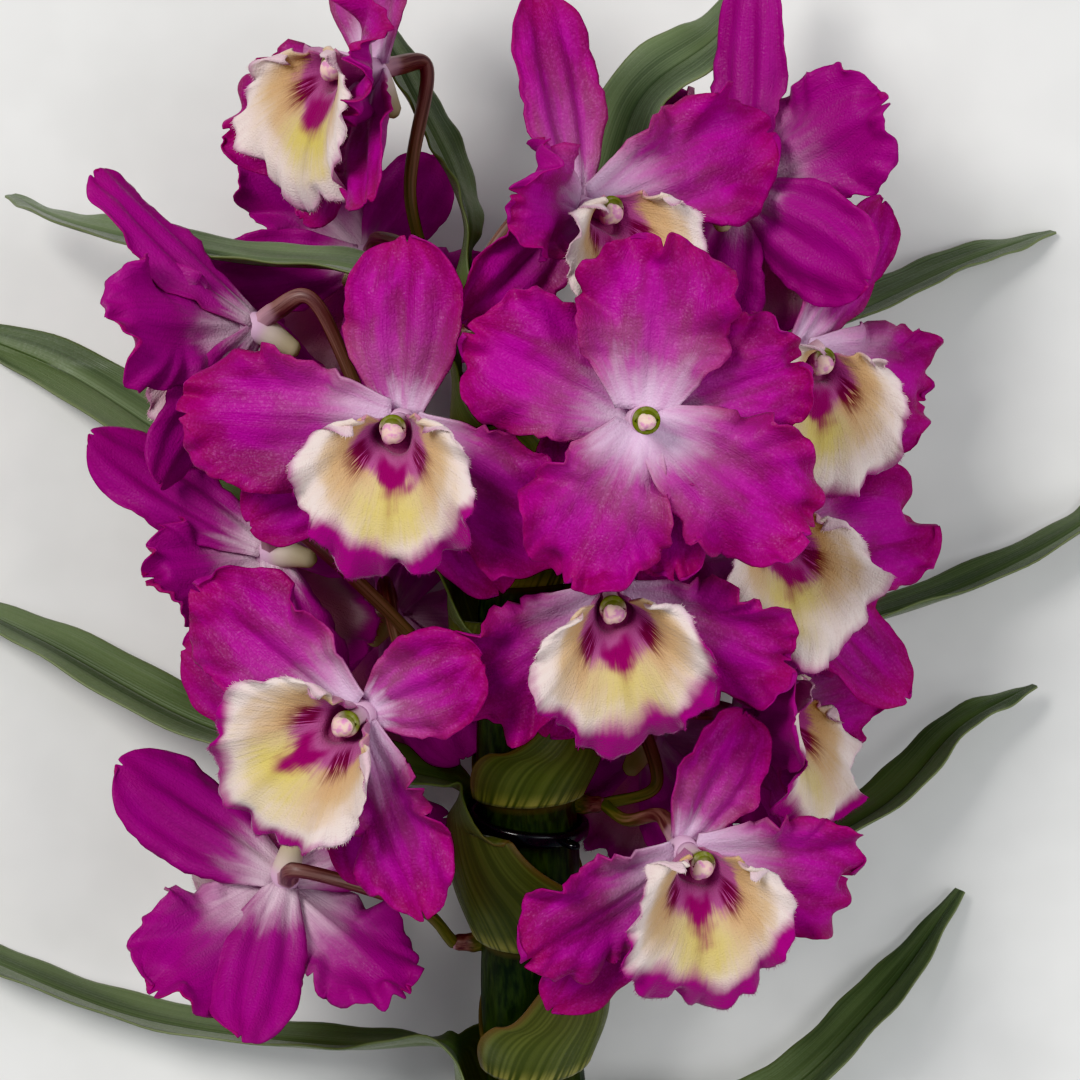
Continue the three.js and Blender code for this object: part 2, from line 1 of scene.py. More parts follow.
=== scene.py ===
# %% [markdown]
# # A flowering dendrobium cane
#
# The real thing is one leafy orchid cane, as cut, that lies on a surface with its flowers looking up.
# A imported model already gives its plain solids. This lesson dresses them: thin waved petals with veins,
# frilled velvety lips, grooved leaves and a jointed cane. All the shapes are written as formulas over
# small tables, so that each finer piece stays exactly where its plain solid is.

# %% Load the fixed frame
import math

import bpy
import numpy as np
from mathutils import Matrix, Vector


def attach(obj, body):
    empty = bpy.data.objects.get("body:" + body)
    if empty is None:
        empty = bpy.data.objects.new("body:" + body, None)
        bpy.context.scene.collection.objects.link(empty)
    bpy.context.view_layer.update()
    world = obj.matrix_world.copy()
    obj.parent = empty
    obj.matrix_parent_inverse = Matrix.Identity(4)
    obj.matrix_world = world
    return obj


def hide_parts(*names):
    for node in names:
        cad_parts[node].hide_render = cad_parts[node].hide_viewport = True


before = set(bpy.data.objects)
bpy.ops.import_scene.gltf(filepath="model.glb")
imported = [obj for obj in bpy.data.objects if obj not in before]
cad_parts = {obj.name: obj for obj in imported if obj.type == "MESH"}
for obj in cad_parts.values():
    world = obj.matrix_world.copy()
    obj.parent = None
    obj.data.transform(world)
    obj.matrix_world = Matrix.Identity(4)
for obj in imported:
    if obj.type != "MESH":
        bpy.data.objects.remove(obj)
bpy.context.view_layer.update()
print("nodes:", len(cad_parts))

# %% [markdown]
# ## Helpers for points and curves
#
# The tables are in millimetres, because a petal is easier to think about as 40 mm long than as 0.04 m.
# A piece is scaled to metres only when its mesh is made. Stalks, leaves and the cane follow Catmull-Rom
# curves, which pass through every point they are given.

# %% Points and curves
MM = 0.001


def unit(vector):
    vector = np.asarray(vector, float)
    return vector / np.linalg.norm(vector)


def mix(a, b, share):
    return a + (b - a) * share


def smooth(x, low, high):
    """0 up to low, 1 from high on, and an even S between them."""
    t = np.clip((x - low) / (high - low), 0, 1)
    return t * t * (3 - 2 * t)


def catmull_rom(points, share, even):
    """A point of the curve through points. even keeps one pace past points that stand close together."""
    last = len(points) - 1
    x = last * share
    k = min(int(x), last - 1)
    w = x - k
    b, c = points[k], points[k + 1]
    a = points[k - 1] if k else 2 * b - c
    d = points[k + 2] if k + 2 <= last else 2 * c - b
    if even:
        ab, bc, cd = (math.sqrt(np.linalg.norm(q - p)) for p, q in ((a, b), (b, c), (c, d)))
        start = ((b - a) / ab - (c - a) / (ab + bc) + (c - b) / bc) * bc
        end = ((c - b) / bc - (d - b) / (bc + cd) + (d - c) / cd) * bc
    else:
        start, end = (c - a) / 2, (d - b) / 2
    return b + start * w + (3 * (c - b) - 2 * start - end) * w**2 + (2 * (b - c) + start + end) * w**3


def curve(points, even=False):
    points = [np.array(p, float) for p in points]
    return lambda share: catmull_rom(points, share, even)


def toward(path, share):
    """The direction of a path."""
    step = 1e-4
    return unit(path(min(share + step, 1)) - path(max(share - step, 0)))


print("a quarter of the way round a bend:", curve([(0, 0, 0), (1, 1, 0), (2, 0, 0)])(0.25))

# %% [markdown]
# ## The plant's own tables
#
# Each flower is a centre, the way it looks, the way its top sepal points, and its sepals and petals,
# each with its turn, length, width and lean. Five of them go with a lip, and six stand in the one flower
# that has none. Each leaf is a sheath on the cane and a path for its blade.

# %% Cane, leaves and stalks
SHIFT = np.array((3.3, 13.62, 0), float)  # from the tables' zero to the frame's, in mm
CANE_NODES = [-155, -132, -108, -81, -52, -30, -9, 12, 29, 43, 55]  # how far along each ring stands
CANE_RADII = [9.2, 10.2, 10.6, 10.6, 10.4, 9.8, 8.8, 7.4, 5.8, 4.4, 2.6]  # of the swelling past each ring
CANE_WAIST = 0.92  # the girth at a ring, as a share of the swelling's
GAP = 0.35  # the plain model's room between the cane and what stands on it, in mm

# face is the way a blade's upper side looks, and path is where the blade runs past its sheath.
LEAVES = [
    dict(ring=0, side=1, width=16, face=(-0.6, 0.6, 0.53),
         path=[(18.2, -122.2, 16.7), (46.9, -119, 13.9), (71, -98.2, 10.7), (90, -75, 3)]),
    dict(ring=1, side=-1, width=15, face=(0.25, 0.93, 0.28),
         path=[(-20.4, -103.8, 28.1), (-43.6, -105.5, 18.9), (-83.5, -101.3, 10.9),
               (-116.2, -89.7, 7.1), (-132, -83, 1)]),
    dict(ring=2, side=1, width=16, face=(-0.47, 0.8, 0.37),
         path=[(18.9, -80.2, 34.1), (38.4, -71.7, 28.8), (70.9, -55.8, 19.9), (88.3, -39.3, 13.6),
               (105, -31, 8)]),
    dict(ring=3, side=-1, width=16, face=(0.28, 0.75, 0.6),
         path=[(-16.5, -49.9, 38.4), (-38.6, -45.1, 32.8), (-69.8, -38.4, 23.2), (-105, -21.3, 10),
               (-129, -11, 0.6)]),
    dict(ring=4, side=1, width=16, face=(-0.47, 0.82, 0.33),
         path=[(13.8, -30.8, 45), (35.7, -25.1, 37.7), (61.5, -18.2, 26.7), (89.7, -9.7, 13.2),
               (115.5, 3.6, 7.5), (125, 15, 0.6)]),
    dict(ring=5, side=-1, width=19, face=(0.28, 0.56, 0.78),
         path=[(-19.6, -6.3, 50.1), (-34.2, 0, 34.1), (-63.7, 12.5, 21.7), (-101.2, 35.8, 1.6),
               (-127, 46, -1.2)]),
    dict(ring=6, side=1, width=17, face=(-0.35, 0.82, 0.45),
         path=[(12.3, 18.9, 49.8), (32.4, 32.6, 39.5), (66.9, 48.1, 21.2), (89.8, 58.9, 8.9),
               (110, 66, 0.6)]),
    dict(ring=7, side=-1, width=16, face=(0.35, 0.84, 0.42),
         path=[(-18.3, 37.9, 54.1), (-34.4, 53.1, 53.4), (-61.5, 57.1, 41.9), (-94.2, 64.4, 33.3),
               (-111, 72, 18)]),
    dict(ring=8, side=1, width=17, face=(-0.5, 0.33, 0.8),
         path=[(-2.8, 52.4, 54), (11, 64.7, 53), (20.1, 89.2, 44.3), (36.2, 103, 38.9), (50, 122, 24)]),
    dict(ring=9, side=-1, width=15, face=(0.85, 0.3, 0.43),
         path=[(-14.2, 62.1, 53.2), (-18.1, 74.5, 46.6), (-24.9, 88.2, 44.1), (-33, 103.3, 42.2),
               (-43, 119, 34)]),
]

# A stalk leaves the cane below a ring. A flower is given by its number in the table below, counted from 0,
# with a point that its stem bends through.
STALKS = [
    dict(ring=3, side=-1, turn=0, flowers=[(11, (-24.5, -74, 45.7))]),
    dict(ring=4, side=1, turn=0, flowers=[(4, (17.2, -56.1, 48.5)), (15, (23.6, -50.1, 37.3))]),
    dict(ring=5, side=-1, turn=0, flowers=[(1, (-21.9, -19.7, 52.3)), (12, (-23, -22.5, 46.7)),
                                           (14, (-26.1, -25.9, 46.2))]),
    dict(ring=6, side=1, turn=0, flowers=[(3, (14, -13.4, 54.2)), (9, (21.5, 6.4, 48.1)),
                                          (10, (18.7, -27.7, 60.2))]),
    dict(ring=7, side=-1, turn=0, flowers=[(0, (-24.5, 19, 63.5)), (7, (-32.7, 23.5, 49.2))]),
    dict(ring=8, side=1, turn=30, flowers=[(2, (10.7, 25.2, 62.3)), (8, (19.9, 27.2, 48.8))]),
    dict(ring=9, side=-1, turn=0, flowers=[(6, (-25.5, 66.9, 60.7)), (16, (-24.7, 57.3, 45.6))]),
    dict(ring=10, side=1, turn=20, flowers=[(5, (-11.1, 53.1, 62.4)), (13, (-2, 60.6, 33))]),
]
print("rings on the cane:", len(CANE_NODES))

# %% Flowers
# A sepal or petal is its turn, length, width and lean.
USUAL_TEPALS = [(90, 37, 19, 2), (8, 40, 27, 8), (172, 40, 27, 8), (-44, 37, 19, -6), (224, 37, 19, -6)]
PELORIC_TEPALS = [(153, 36, 28, 2), (20, 33, 25, 2), (-78, 30, 20, 0), (84, 34, 32, 12),
                  (-34, 37, 28, 12), (-116, 33, 28, 12)]
FLOWERS = [
    dict(at=(-26.4, 21.6, 92.6), faces=(-0.12, -0.12, 1), up=(0.04, 1, 0),
         tepals=[(90, 35, 23, 4), (-35, 40, 25, 6), (180, 42, 27.8, 6), (-60, 38, 17, -5),
                 (215, 37.4, 19, -6)]),
    dict(at=(-34.7, -33.7, 84.1), faces=(-0.22, -0.11, 0.96), up=(0.82, 0.57, 0),
         tepals=[(80, 27, 21, 10), (-15, 40.2, 19, 12), (198, 40, 25, 6), (-38, 36, 17, -8),
                 (219, 40.2, 24, -6)]),
    dict(at=(19, 22.2, 104.7), faces=(0.04, -0.06, 0.95), up=(0, 1, 0), peloric=True),
    dict(at=(13.3, -10.8, 85.3), faces=(0.05, -0.28, 0.97), up=(-0.18, 1.03, 0.3),
         tepals=[(91, 36, 20.1, 2), (-32, 38.8, 24, 10), (210, 37, 27, 4), (-60, 32.8, 16, -7),
                 (241, 34, 16, -8)]),
    dict(at=(28.5, -60.6, 73.6), faces=(0.32, -0.17, 0.89), up=(0.09, 1.01, 0.01),
         tepals=[(74, 29.8, 18.2, 11), (-6, 39, 24, 9), (219, 37.6, 24, 4), (-36, 34, 17, -6),
                 (241, 41, 18, -6)]),
    dict(at=(9.3, 63.5, 74.7), faces=(0.57, -0.04, 0.81), up=(-0.11, 0.99, 0),
         tepals=[(96, 43, 19, -1), (19, 44.1, 28, 18), (172, 32, 24, 40), (-46, 36.4, 17.9, -4),
                 (216, 34, 18, 5)]),
    dict(at=(-35.2, 92.4, 61), faces=(-0.75, 0.05, 0.66), up=(0.11, 1.01, 0.02),
         tepals=[(92, 36.8, 27, 10), (0, 30, 24, 46), (200, 37.6, 25.8, 16), (-52, 38, 19, 30),
                 (238, 35, 18, 4)]),
    dict(at=(-59.6, 42.1, 50.7), faces=(-0.93, -0.2, -0.31), up=(-0.09, 0.84, 0.47),
         tepals=[(89, 44.4, 19, 32), (35, 35.9, 27, 30), (175, 39.9, 24, 44), (-30, 38.9, 18, 39),
                 (224, 36.1, 18, 9)]),
    dict(at=(51.7, 35.9, 55.1), faces=(0.53, -0.07, 0.83), up=(0.15, 1.04, -0.12),
         tepals=[(66, 40, 15, 6), (-2, 39, 28, 2), (196, 30, 20, 25), (-54, 34, 17, -6),
                 (232, 32.3, 17.1, -8)]),
    dict(at=(43.5, -0.9, 57), faces=(0.43, 0.29, 0.76), up=(0.02, 1.02, -0.24),
         tepals=[(85, 34, 17, 4), (12, 40.8, 26.7, 13), (188, 31.5, 23.2, 3), (-40, 43.7, 20, 7),
                 (231, 33.1, 17, -7)]),
    dict(at=(43.2, -35, 43.4), faces=(0.95, 0.18, 0.38), up=(0.17, 0.57, -0.24),
         tepals=[(90, 40, 18.7, 55), (34, 31.4, 23.1, 52), (166, 28.5, 22, 29), (-44, 34.5, 15.7, 11),
                 (212, 42, 22.1, 40)]),
    dict(at=(-52.2, -69.4, 43.1), faces=(-0.28, -0.47, -0.88), up=(-0.2, -0.95, 0),
         tepals=[(98, 37, 19, 1), (37, 34, 24, 0), (128, 37.8, 28, 0), (-30, 36, 18, -3),
                 (202, 40.6, 22, -4)]),
    dict(at=(-54.9, -3.3, 47.7), faces=(-0.38, -0.35, -0.81), up=(-0.88, 0.46, 0),
         tepals=[(90, 43, 17, 6), (45, 26.8, 22, 3), (173, 35.8, 26, -1), (-44, 36, 18, -4),
                 (227, 33, 18, -10)]),
    dict(at=(40.9, 70.4, 46.9), faces=(0.51, 0.1, -0.86), up=(0.1, 1.02, 0.06),
         tepals=[(90, 43.1, 16, 8), (20, 33.9, 26, 9), (148, 35.9, 28, 7), (-80, 34.4, 21.6, -1),
                 (206, 36, 22.7, -1)]),
    dict(at=(-31.3, -16.8, 18.5), faces=(0.1, -0.3, -0.96), up=(0.3, 1, 0)),
    dict(at=(23.5, -41.6, 21.3), faces=(0.29, -0.1, -1.07), up=(0.4, 1, 0)),
    dict(at=(-36, 58.6, 19.5), faces=(-0.08, -0.01, -0.97), up=(0.57, 0.82, 0),
         tepals=[(90, 26, 17, 11), (10, 34.5, 24, 8), (172, 33.8, 24, 7), (-44, 34, 18, -4),
                 (224, 33.9, 18.1, -7)]),
]
# For each flower: how far the white runs out from its heart, how wide the magenta edge of its lip is,
# and how yellow the lip is.
LOOKS = [
    (0.24, 0.85, 0.75), (0.24, 0.55, 0.85), (0.22, 0, 0), (0.26, 1, 0.65), (0.28, 0.95, 0.7),
    (0.26, 0.05, 0.5), (0.3, 0.1, 1), (0.3, 0.5, 0.6), (0.36, 0.3, 0.8), (0.3, 0.2, 0.7),
    (0.36, 0.6, 0.5), (0.4, 0.6, 0.6), (0.34, 0.6, 0.6), (0.36, 0.5, 0.6),
    *[(0.34, 0.6, 0.6)] * 3,
]
# Each flower's petals roll by a seed of its own, picked so that they keep clear of their neighbours.
ROLLS = [
    100, 101, 102, 103, 104, 2005, 2576, 4467, 108,
    109, 2530, 4621, 4672, 4013, 114, 5545, 116,
]
print(len(FLOWERS), "flowers,", len(LEAVES), "leaves,", len(STALKS), "stalks")

# %% [markdown]
# ## Skins
#
# A petal or a leaf is a sheet: a grid of middle points that gets a front, a back and a rim, and is thinner
# towards its edges. A stalk is a tube round a line of centres. Both kinds of skin keep marks at their
# points, such as how far along the petal they are, because the finishes are painted by those marks.
# Colours that follow a surface's own directions need such marks: a veined petal can't be painted by
# X, Y and Z.

# %% Sheets
FLOOR = 0.05  # nothing dips lower than this above the surface, in mm


def marks(*layers):
    """Three marks a point, from arrays or numbers."""
    return np.stack(np.broadcast_arrays(*[np.asarray(layer, float) for layer in layers]), -1)


def sheet(grid, thick, place, tone):
    """A closed thin skin over grid[i, j]. place and tone hold three marks a point. The back's last is 1."""
    rows, columns = grid.shape[:2]
    normal = np.cross(np.gradient(grid, axis=0), np.gradient(grid, axis=1))
    normal /= np.maximum(np.linalg.norm(normal, axis=2, keepdims=True), 1e-9)
    half = normal * thick[..., None] / 2
    low = grid[..., 2] - np.abs(half[..., 2])
    grid = grid.copy()
    grid[..., 2] += np.maximum(0, FLOOR - low)
    a = (np.arange(rows - 1)[:, None] * columns + np.arange(columns - 1)[None]).ravel()
    front = np.stack([a, a + columns, a + columns + 1, a + 1], 1)
    count = rows * columns
    back = front[:, ::-1] + count
    rim = np.concatenate([
        np.arange(columns - 1),
        np.arange(rows - 1) * columns + columns - 1,
        (rows - 1) * columns + np.arange(columns - 1, 0, -1),
        np.arange(rows - 1, 0, -1) * columns,
    ])
    after = np.roll(rim, -1)
    sides = np.stack([rim, after, after + count, rim + count], 1)
    points = np.concatenate([(grid + half).reshape(-1, 3), (grid - half).reshape(-1, 3)])
    place = np.concatenate([place.reshape(-1, 3)] * 2)
    tone = np.concatenate([tone.reshape(-1, 3)] * 2)
    tone[count:, 2] = 1
    return points, [front, back, sides], place, tone


square = np.array([[[i, j, 1.0] for j in range(3)] for i in range(3)])
print("a sheet over 3 by 3 points has", len(sheet(square, np.ones((3, 3)), square, square)[0]), "points")


# %% Tubes
def tube(centres, radii, sides, place=None):
    """A closed tube. radii is one number a ring, or one a point of each ring."""
    centres = np.array(centres, float)
    radii = np.array(radii, float)
    if radii.ndim == 1:
        radii = np.repeat(radii[:, None], sides, 1)
    turn = 2 * np.pi * np.arange(sides) / sides
    across = None
    rings = []
    for i, centre in enumerate(centres):
        tangent = unit(centres[min(i + 1, len(centres) - 1)] - centres[max(i - 1, 0)])
        if across is None:
            across = np.array([0, 0, 1.0]) if abs(tangent[2]) < 0.8 else np.array([1.0, 0, 0])
        across = unit(across - tangent * across.dot(tangent))
        other = np.cross(tangent, across)
        ring = np.cos(turn)[:, None] * across + np.sin(turn)[:, None] * other
        rings.append(centre + radii[i][:, None] * ring)
    points = np.concatenate(rings)
    points[:, 2] = np.maximum(points[:, 2], FLOOR)
    k = np.arange(sides)
    first = np.arange(len(centres) - 1)[:, None] * sides
    a = (first + k).ravel()
    b = (first + (k + 1) % sides).ravel()
    last = (len(centres) - 1) * sides
    faces = [np.stack([a, b, b + sides, a + sides], 1), k[None, ::-1], last + k[None]]
    if place is None:
        u = np.repeat(np.linspace(0, 1, len(centres)), sides)
        place = marks(u, np.tile(turn / np.pi - 1, len(centres)), 0)
    return points, faces, place.reshape(-1, 3), np.zeros((len(points), 3))


print("a tube of 3 rings with 8 sides has", len(tube(np.eye(3), [1, 1, 1], 8)[0]), "points")

# %% [markdown]
# A piece gathers its skins into one mesh. It stays at the origin, unturned and unscaled, with its place in
# its points, and takes the place of the plain solid that it is named for.

# %% Pieces
triangles = {}


def show(name, data):
    """A new object in the scene."""
    made = bpy.data.objects.new(name, data)
    bpy.context.scene.collection.objects.link(made)
    return made


def keep(mesh, name, numbers):
    """Stores three numbers a point in a mesh, under a name."""
    layer = mesh.attributes.new(name, "FLOAT_VECTOR", "POINT")
    layer.data.foreach_set("vector", np.asarray(numbers, np.float32).ravel())


def settle(made, node):
    """The piece rides on the plant's one body. Only the fringes replace no node."""
    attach(made, "root")
    if node:
        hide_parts(node)
    triangles[made.name] = sum(len(face.vertices) - 2 for face in made.data.polygons)


def piece(name, skins, finishes, node):
    """One mesh from skins, each given with the number of its finish."""
    points, faces, kinds, places, tones = [], [], [], [], []
    start = 0
    for (skin_points, skin_faces, place, tone), kind in skins:
        points.append(skin_points + SHIFT)
        places.append(place)
        tones.append(tone)
        for block in skin_faces:
            faces += (block + start).tolist()
            kinds += [kind] * len(block)
        start += len(skin_points)
    mesh = bpy.data.meshes.new(name)
    mesh.from_pydata((np.concatenate(points) * MM).tolist(), [], faces)
    keep(mesh, "place", np.concatenate(places))
    keep(mesh, "tone", np.concatenate(tones))
    for material in finishes:
        mesh.materials.append(material)
    mesh.polygons.foreach_set("material_index", kinds)
    mesh.polygons.foreach_set("use_smooth", [True] * len(kinds))
    mesh.update()
    settle(show(name, mesh), node)


print("pieces so far:", len(triangles))

# %% [markdown]
# ## Painting by nodes
#
# Every finish is a node material. A small wrapper puts nodes in a tree and links whatever it is given,
# so that each finish below reads as a short recipe.

# %% A wrapper for node trees
def colour(red, green, blue):
    """A screen colour, 0 to 255, as the linear colour that a shader takes."""
    share = np.array([red, green, blue]) / 255
    linear = np.where(share <= 0.04045, share / 12.92, ((share + 0.055) / 1.055) ** 2.4)
    return (*[float(x) for x in linear], 1.0)


class Paint:
    def __init__(self, tree):
        self.tree = tree

    def put(self, kind, inputs=None, **settings):
        """A node. An input takes a link where it is given a socket, and a value otherwise."""
        made = self.tree.nodes.new(kind)
        for name, value in settings.items():
            setattr(made, name, value)
        for key, value in (inputs or {}).items():
            if isinstance(value, bpy.types.NodeSocket):
                self.tree.links.new(value, made.inputs[key])
            else:
                made.inputs[key].default_value = value
        return made

    def join(self, socket, node, name):
        self.tree.links.new(socket, node.inputs[name])

    def math(self, operation, a, b=0.0, c=0.0):
        return self.put("ShaderNodeMath", {0: a, 1: b, 2: c}, operation=operation).outputs[0]

    def times(self, a, b, plus=None):
        if plus is None:
            return self.math("MULTIPLY", a, b)
        return self.math("MULTIPLY_ADD", a, b, plus)

    def blend(self, share, a, b):
        return self.put("ShaderNodeMix", {0: share, 6: a, 7: b}, data_type="RGBA").outputs[2]

    def step(self, value, low, high, out_low=0.0, out_high=1.0):
        """A soft step from out_low to out_high while value goes from low to high."""
        return self.put("ShaderNodeMapRange", {0: value, 1: low, 2: high, 3: out_low, 4: out_high},
                        interpolation_type="SMOOTHSTEP").outputs[0]

    def noise(self, vector, scale, detail, roughness=0.5):
        inputs = {"Vector": vector, "Scale": scale, "Detail": detail, "Roughness": roughness}
        return self.put("ShaderNodeTexNoise", inputs).outputs["Fac"]

    def relief(self, height, distance, strength, normal=None):
        """A bump, laid over another one where a normal is given."""
        inputs = {"Height": height, "Distance": distance, "Strength": strength}
        if normal:
            inputs["Normal"] = normal
        return self.put("ShaderNodeBump", inputs).outputs[0]

    def mark(self, name):
        made = self.put("ShaderNodeAttribute", attribute_name=name)
        return self.put("ShaderNodeSeparateXYZ", {0: made.outputs["Vector"]}).outputs

    def vector(self, x, y, z):
        return self.put("ShaderNodeCombineXYZ", {0: x, 1: y, 2: z}).outputs[0]

    def drawn(self, u, along, v, across, seed=0.0):
        """A place for noise that is drawn out along u where along is small beside across."""
        return self.vector(self.times(u, along), self.times(v, across), seed)

    def where(self):
        return self.put("ShaderNodeTexCoord").outputs["Object"]


print("mid grey on a screen is", round(colour(128, 128, 128)[0], 3), "in linear light")


# %% Groups and materials
def group(name, inputs, outputs):
    """An empty shader group: its tree wrapped, its input sockets and its output node."""
    tree = bpy.data.node_groups.new(name, "ShaderNodeTree")
    for socket, kind, value in inputs:
        made = tree.interface.new_socket(socket, in_out="INPUT", socket_type=kind)
        if value is not None:
            made.default_value = value
    for socket, kind in outputs:
        tree.interface.new_socket(socket, in_out="OUTPUT", socket_type=kind)
    paint = Paint(tree)
    return paint, paint.put("NodeGroupInput").outputs, paint.put("NodeGroupOutput")


def finish(name, roughness, **sockets):
    """A material with its own Principled shader. Plain numbers go on the shader's sockets."""
    material = bpy.data.materials.new(name)
    material.use_nodes = True
    paint = Paint(material.node_tree)
    shader = material.node_tree.nodes["Principled BSDF"]
    shader.inputs["Roughness"].default_value = roughness
    for socket, value in sockets.items():
        shader.inputs[socket.replace("_", " ")].default_value = value
    return material, paint, shader


print("node groups so far:", len(bpy.data.node_groups))

# %% [markdown]
# ## Two effects that the tissues share
#
# Orchid tissue is not smooth. Its skin is made of domed cells that glint like fine sugar, and veins run
# through it from root to tip and fan out with the petal. Both effects are node groups, built once and used
# with other values on petals, lips and leaves.

# %% Cells of the skin
def cell_group():
    paint, given, out = group(
        "skin cells",
        [("Cells per metre", "NodeSocketFloat", 2600.0), ("Height", "NodeSocketFloat", 0.00012),
         ("Strength", "NodeSocketFloat", 0.5)],
        [("Glint", "NodeSocketFloat"), ("Normal", "NodeSocketVector")],
    )
    where = paint.where()
    cells = paint.put("ShaderNodeTexVoronoi", {"Vector": where, "Scale": given["Cells per metre"]})
    rough = paint.noise(where, given["Cells per metre"], 0.0)
    dome = paint.math("ADD", paint.times(cells.outputs["Distance"], -0.8), rough)
    tint = paint.put("ShaderNodeSeparateColor", {0: cells.outputs["Color"]}).outputs[0]
    paint.join(paint.times(tint, 0.5, plus=paint.times(rough, 0.5)), out, "Glint")
    paint.join(paint.relief(dome, given["Height"], given["Strength"]), out, "Normal")
    return paint.tree


SKIN_CELLS = cell_group()


def cells_of(paint, per_metre, height, strength):
    made = paint.put("ShaderNodeGroup", node_tree=SKIN_CELLS)
    for name, value in (("Cells per metre", per_metre), ("Height", height), ("Strength", strength)):
        made.inputs[name].default_value = value
    return made.outputs


print(SKIN_CELLS.name, "takes and gives:", [item.name for item in SKIN_CELLS.interface.items_tree])


# %% Veins that fan out
def vein_group():
    """Lines of even v run from root to tip, so noise that is long along u and short across v gives veins."""
    paint, given, out = group(
        "fanning veins",
        [("Place", "NodeSocketVector", None), ("Across", "NodeSocketFloat", 9.0),
         ("Along", "NodeSocketFloat", 0.8)],
        [("Vein", "NodeSocketFloat"), ("Haze", "NodeSocketFloat")],
    )
    u, v, seed = paint.put("ShaderNodeSeparateXYZ", {0: given["Place"]}).outputs
    wander = paint.noise(given["Place"], 3.0, 0.0)
    v = paint.times(wander, 0.12, plus=v)
    line = paint.noise(paint.drawn(u, given["Along"], v, given["Across"], seed), 1.6, 1.0, 0.6)
    vein = paint.step(paint.math("ABSOLUTE", paint.math("SUBTRACT", line, 0.5)), 0.0, 0.07, 1.0, 0.0)
    paint.join(vein, out, "Vein")
    paint.join(paint.noise(paint.drawn(u, 2.6, v, 2.2, seed), 1.3, 2.0, 0.6), out, "Haze")
    return paint.tree


FANNING_VEINS = vein_group()


def veins_of(paint, across, along):
    made = paint.put("ShaderNodeGroup", node_tree=FANNING_VEINS)
    paint.join(paint.put("ShaderNodeAttribute", attribute_name="place").outputs["Vector"], made, "Place")
    made.inputs["Across"].default_value = across
    made.inputs["Along"].default_value = along
    return made.outputs


print(FANNING_VEINS.name, "takes and gives:", [item.name for item in FANNING_VEINS.interface.items_tree])

# %% [markdown]
# ## The petals' finish
#
# A petal is deep magenta, a little crimson at its edge, and fades to a white root. The white runs out
# along the veins, so its border is uneven. The back is a paler lilac with plainer veins.

# %% Petal finish
def petal_finish():
    material, paint, shader = finish(
        "petal magenta", 0.55, Sheen_Weight=0.05, Sheen_Roughness=0.4, Specular_IOR_Level=0.3,
    )
    u, v, _ = paint.mark("place")
    pale, edge, back = paint.mark("tone")
    vein, haze = veins_of(paint, 11.0, 0.7)
    glint, normal = cells_of(paint, 2300.0, 0.00016, 0.5)
    # Painted sheen: where the haze is high the magenta turns lighter, in soft patches that stand in for a
    # sheen.
    deep = paint.blend(paint.step(haze, 0.34, 0.68), colour(127, 0, 86), colour(158, 6, 129))
    deep = paint.blend(paint.times(edge, 0.6), deep, colour(142, 0, 70))
    # Painted highlight: lighter pink specks where the skin cells glint.
    deep = paint.blend(paint.step(glint, 0.45, 0.85, 0.0, 0.15), deep, colour(206, 74, 180))
    deep = paint.blend(paint.times(vein, 0.1), deep, colour(90, 0, 68))
    run = paint.times(haze, 0.36, plus=paint.math("ADD", u, -0.18))
    run = paint.times(vein, -0.03, plus=run)
    run = paint.times(paint.times(v, v), 0.1, plus=run)
    share = paint.math("DIVIDE", run, paint.math("MAXIMUM", pale, 0.02))
    root, bloom = paint.step(share, -0.2, 2.05, 1.0, 0.0), paint.step(run, 0.05, 0.8, 0.17, 0.0)
    light = paint.blend(paint.times(vein, 0.14), colour(210, 182, 206), colour(178, 104, 172))
    front = paint.blend(paint.math("MAXIMUM", root, bloom), deep, light)
    behind = paint.blend(paint.step(share, 0.1, 1.5), colour(212, 186, 196), colour(142, 12, 112))
    behind = paint.blend(paint.times(vein, 0.3), behind, colour(112, 6, 90))
    paint.join(paint.blend(paint.times(back, 0.75), front, behind), shader, "Base Color")
    paint.join(paint.relief(vein, 0.00018, 0.25, normal), shader, "Normal")
    paint.join(paint.step(glint, 0.2, 0.9, 0.62, 0.46), shader, "Roughness")
    return material


PETAL = petal_finish()
print("petal finish:", len(PETAL.node_tree.nodes), "nodes")

# %% [markdown]
# ## The lip's finish
#
# The lip is cream velvet. It is yellow on its floor and ochre on its flanks, where the ochre is partly the
# lip's own tint and mostly painted shade. Its throat has dark blotches on both sides, like a butterfly's
# wings, made of short strokes that run with the veins. A tongue of magenta runs out of the throat. The lowest
# edge is stained magenta, more on some flowers than on others.

# %% Lip finish
def lip_cream(paint, u, side, out, aside, fur, yolk):
    """Cream ground, lilac margin, yellow bed, flanks ochre with tint and painted shade, painted shade in the
    crease.
    """
    skin = paint.blend(paint.step(out, 0.55, 0.85), colour(198, 176, 144), colour(216, 200, 194))
    skin = paint.blend(paint.step(fur, 0.45, 0.62, 0.0, 0.12), skin, colour(190, 156, 142))
    skin = paint.blend(paint.step(out, 0.86, 1.08, 0.0, 0.5), skin, colour(206, 172, 198))
    # Painted shade, partly the lip's own ochre tint: the flanks beside the throat are blended towards ochre.
    flank_tint_and_shade = paint.times(paint.step(aside, 0.16, 0.42), paint.step(out, 0.84, 0.44))
    skin = paint.blend(paint.times(flank_tint_and_shade, 0.75), skin, colour(188, 146, 100))
    bed = paint.times(paint.step(aside, 0.38, 0.06), paint.step(out, 0.88, 0.52))
    skin = paint.blend(paint.times(bed, yolk), skin, colour(196, 178, 94))
    # Painted shade: a darker olive line down the middle crease.
    crease = paint.times(paint.step(side, 0.07, 0.0), paint.step(u, 0.95, 0.5))
    return paint.blend(paint.times(crease, 0.3), skin, colour(152, 128, 62))


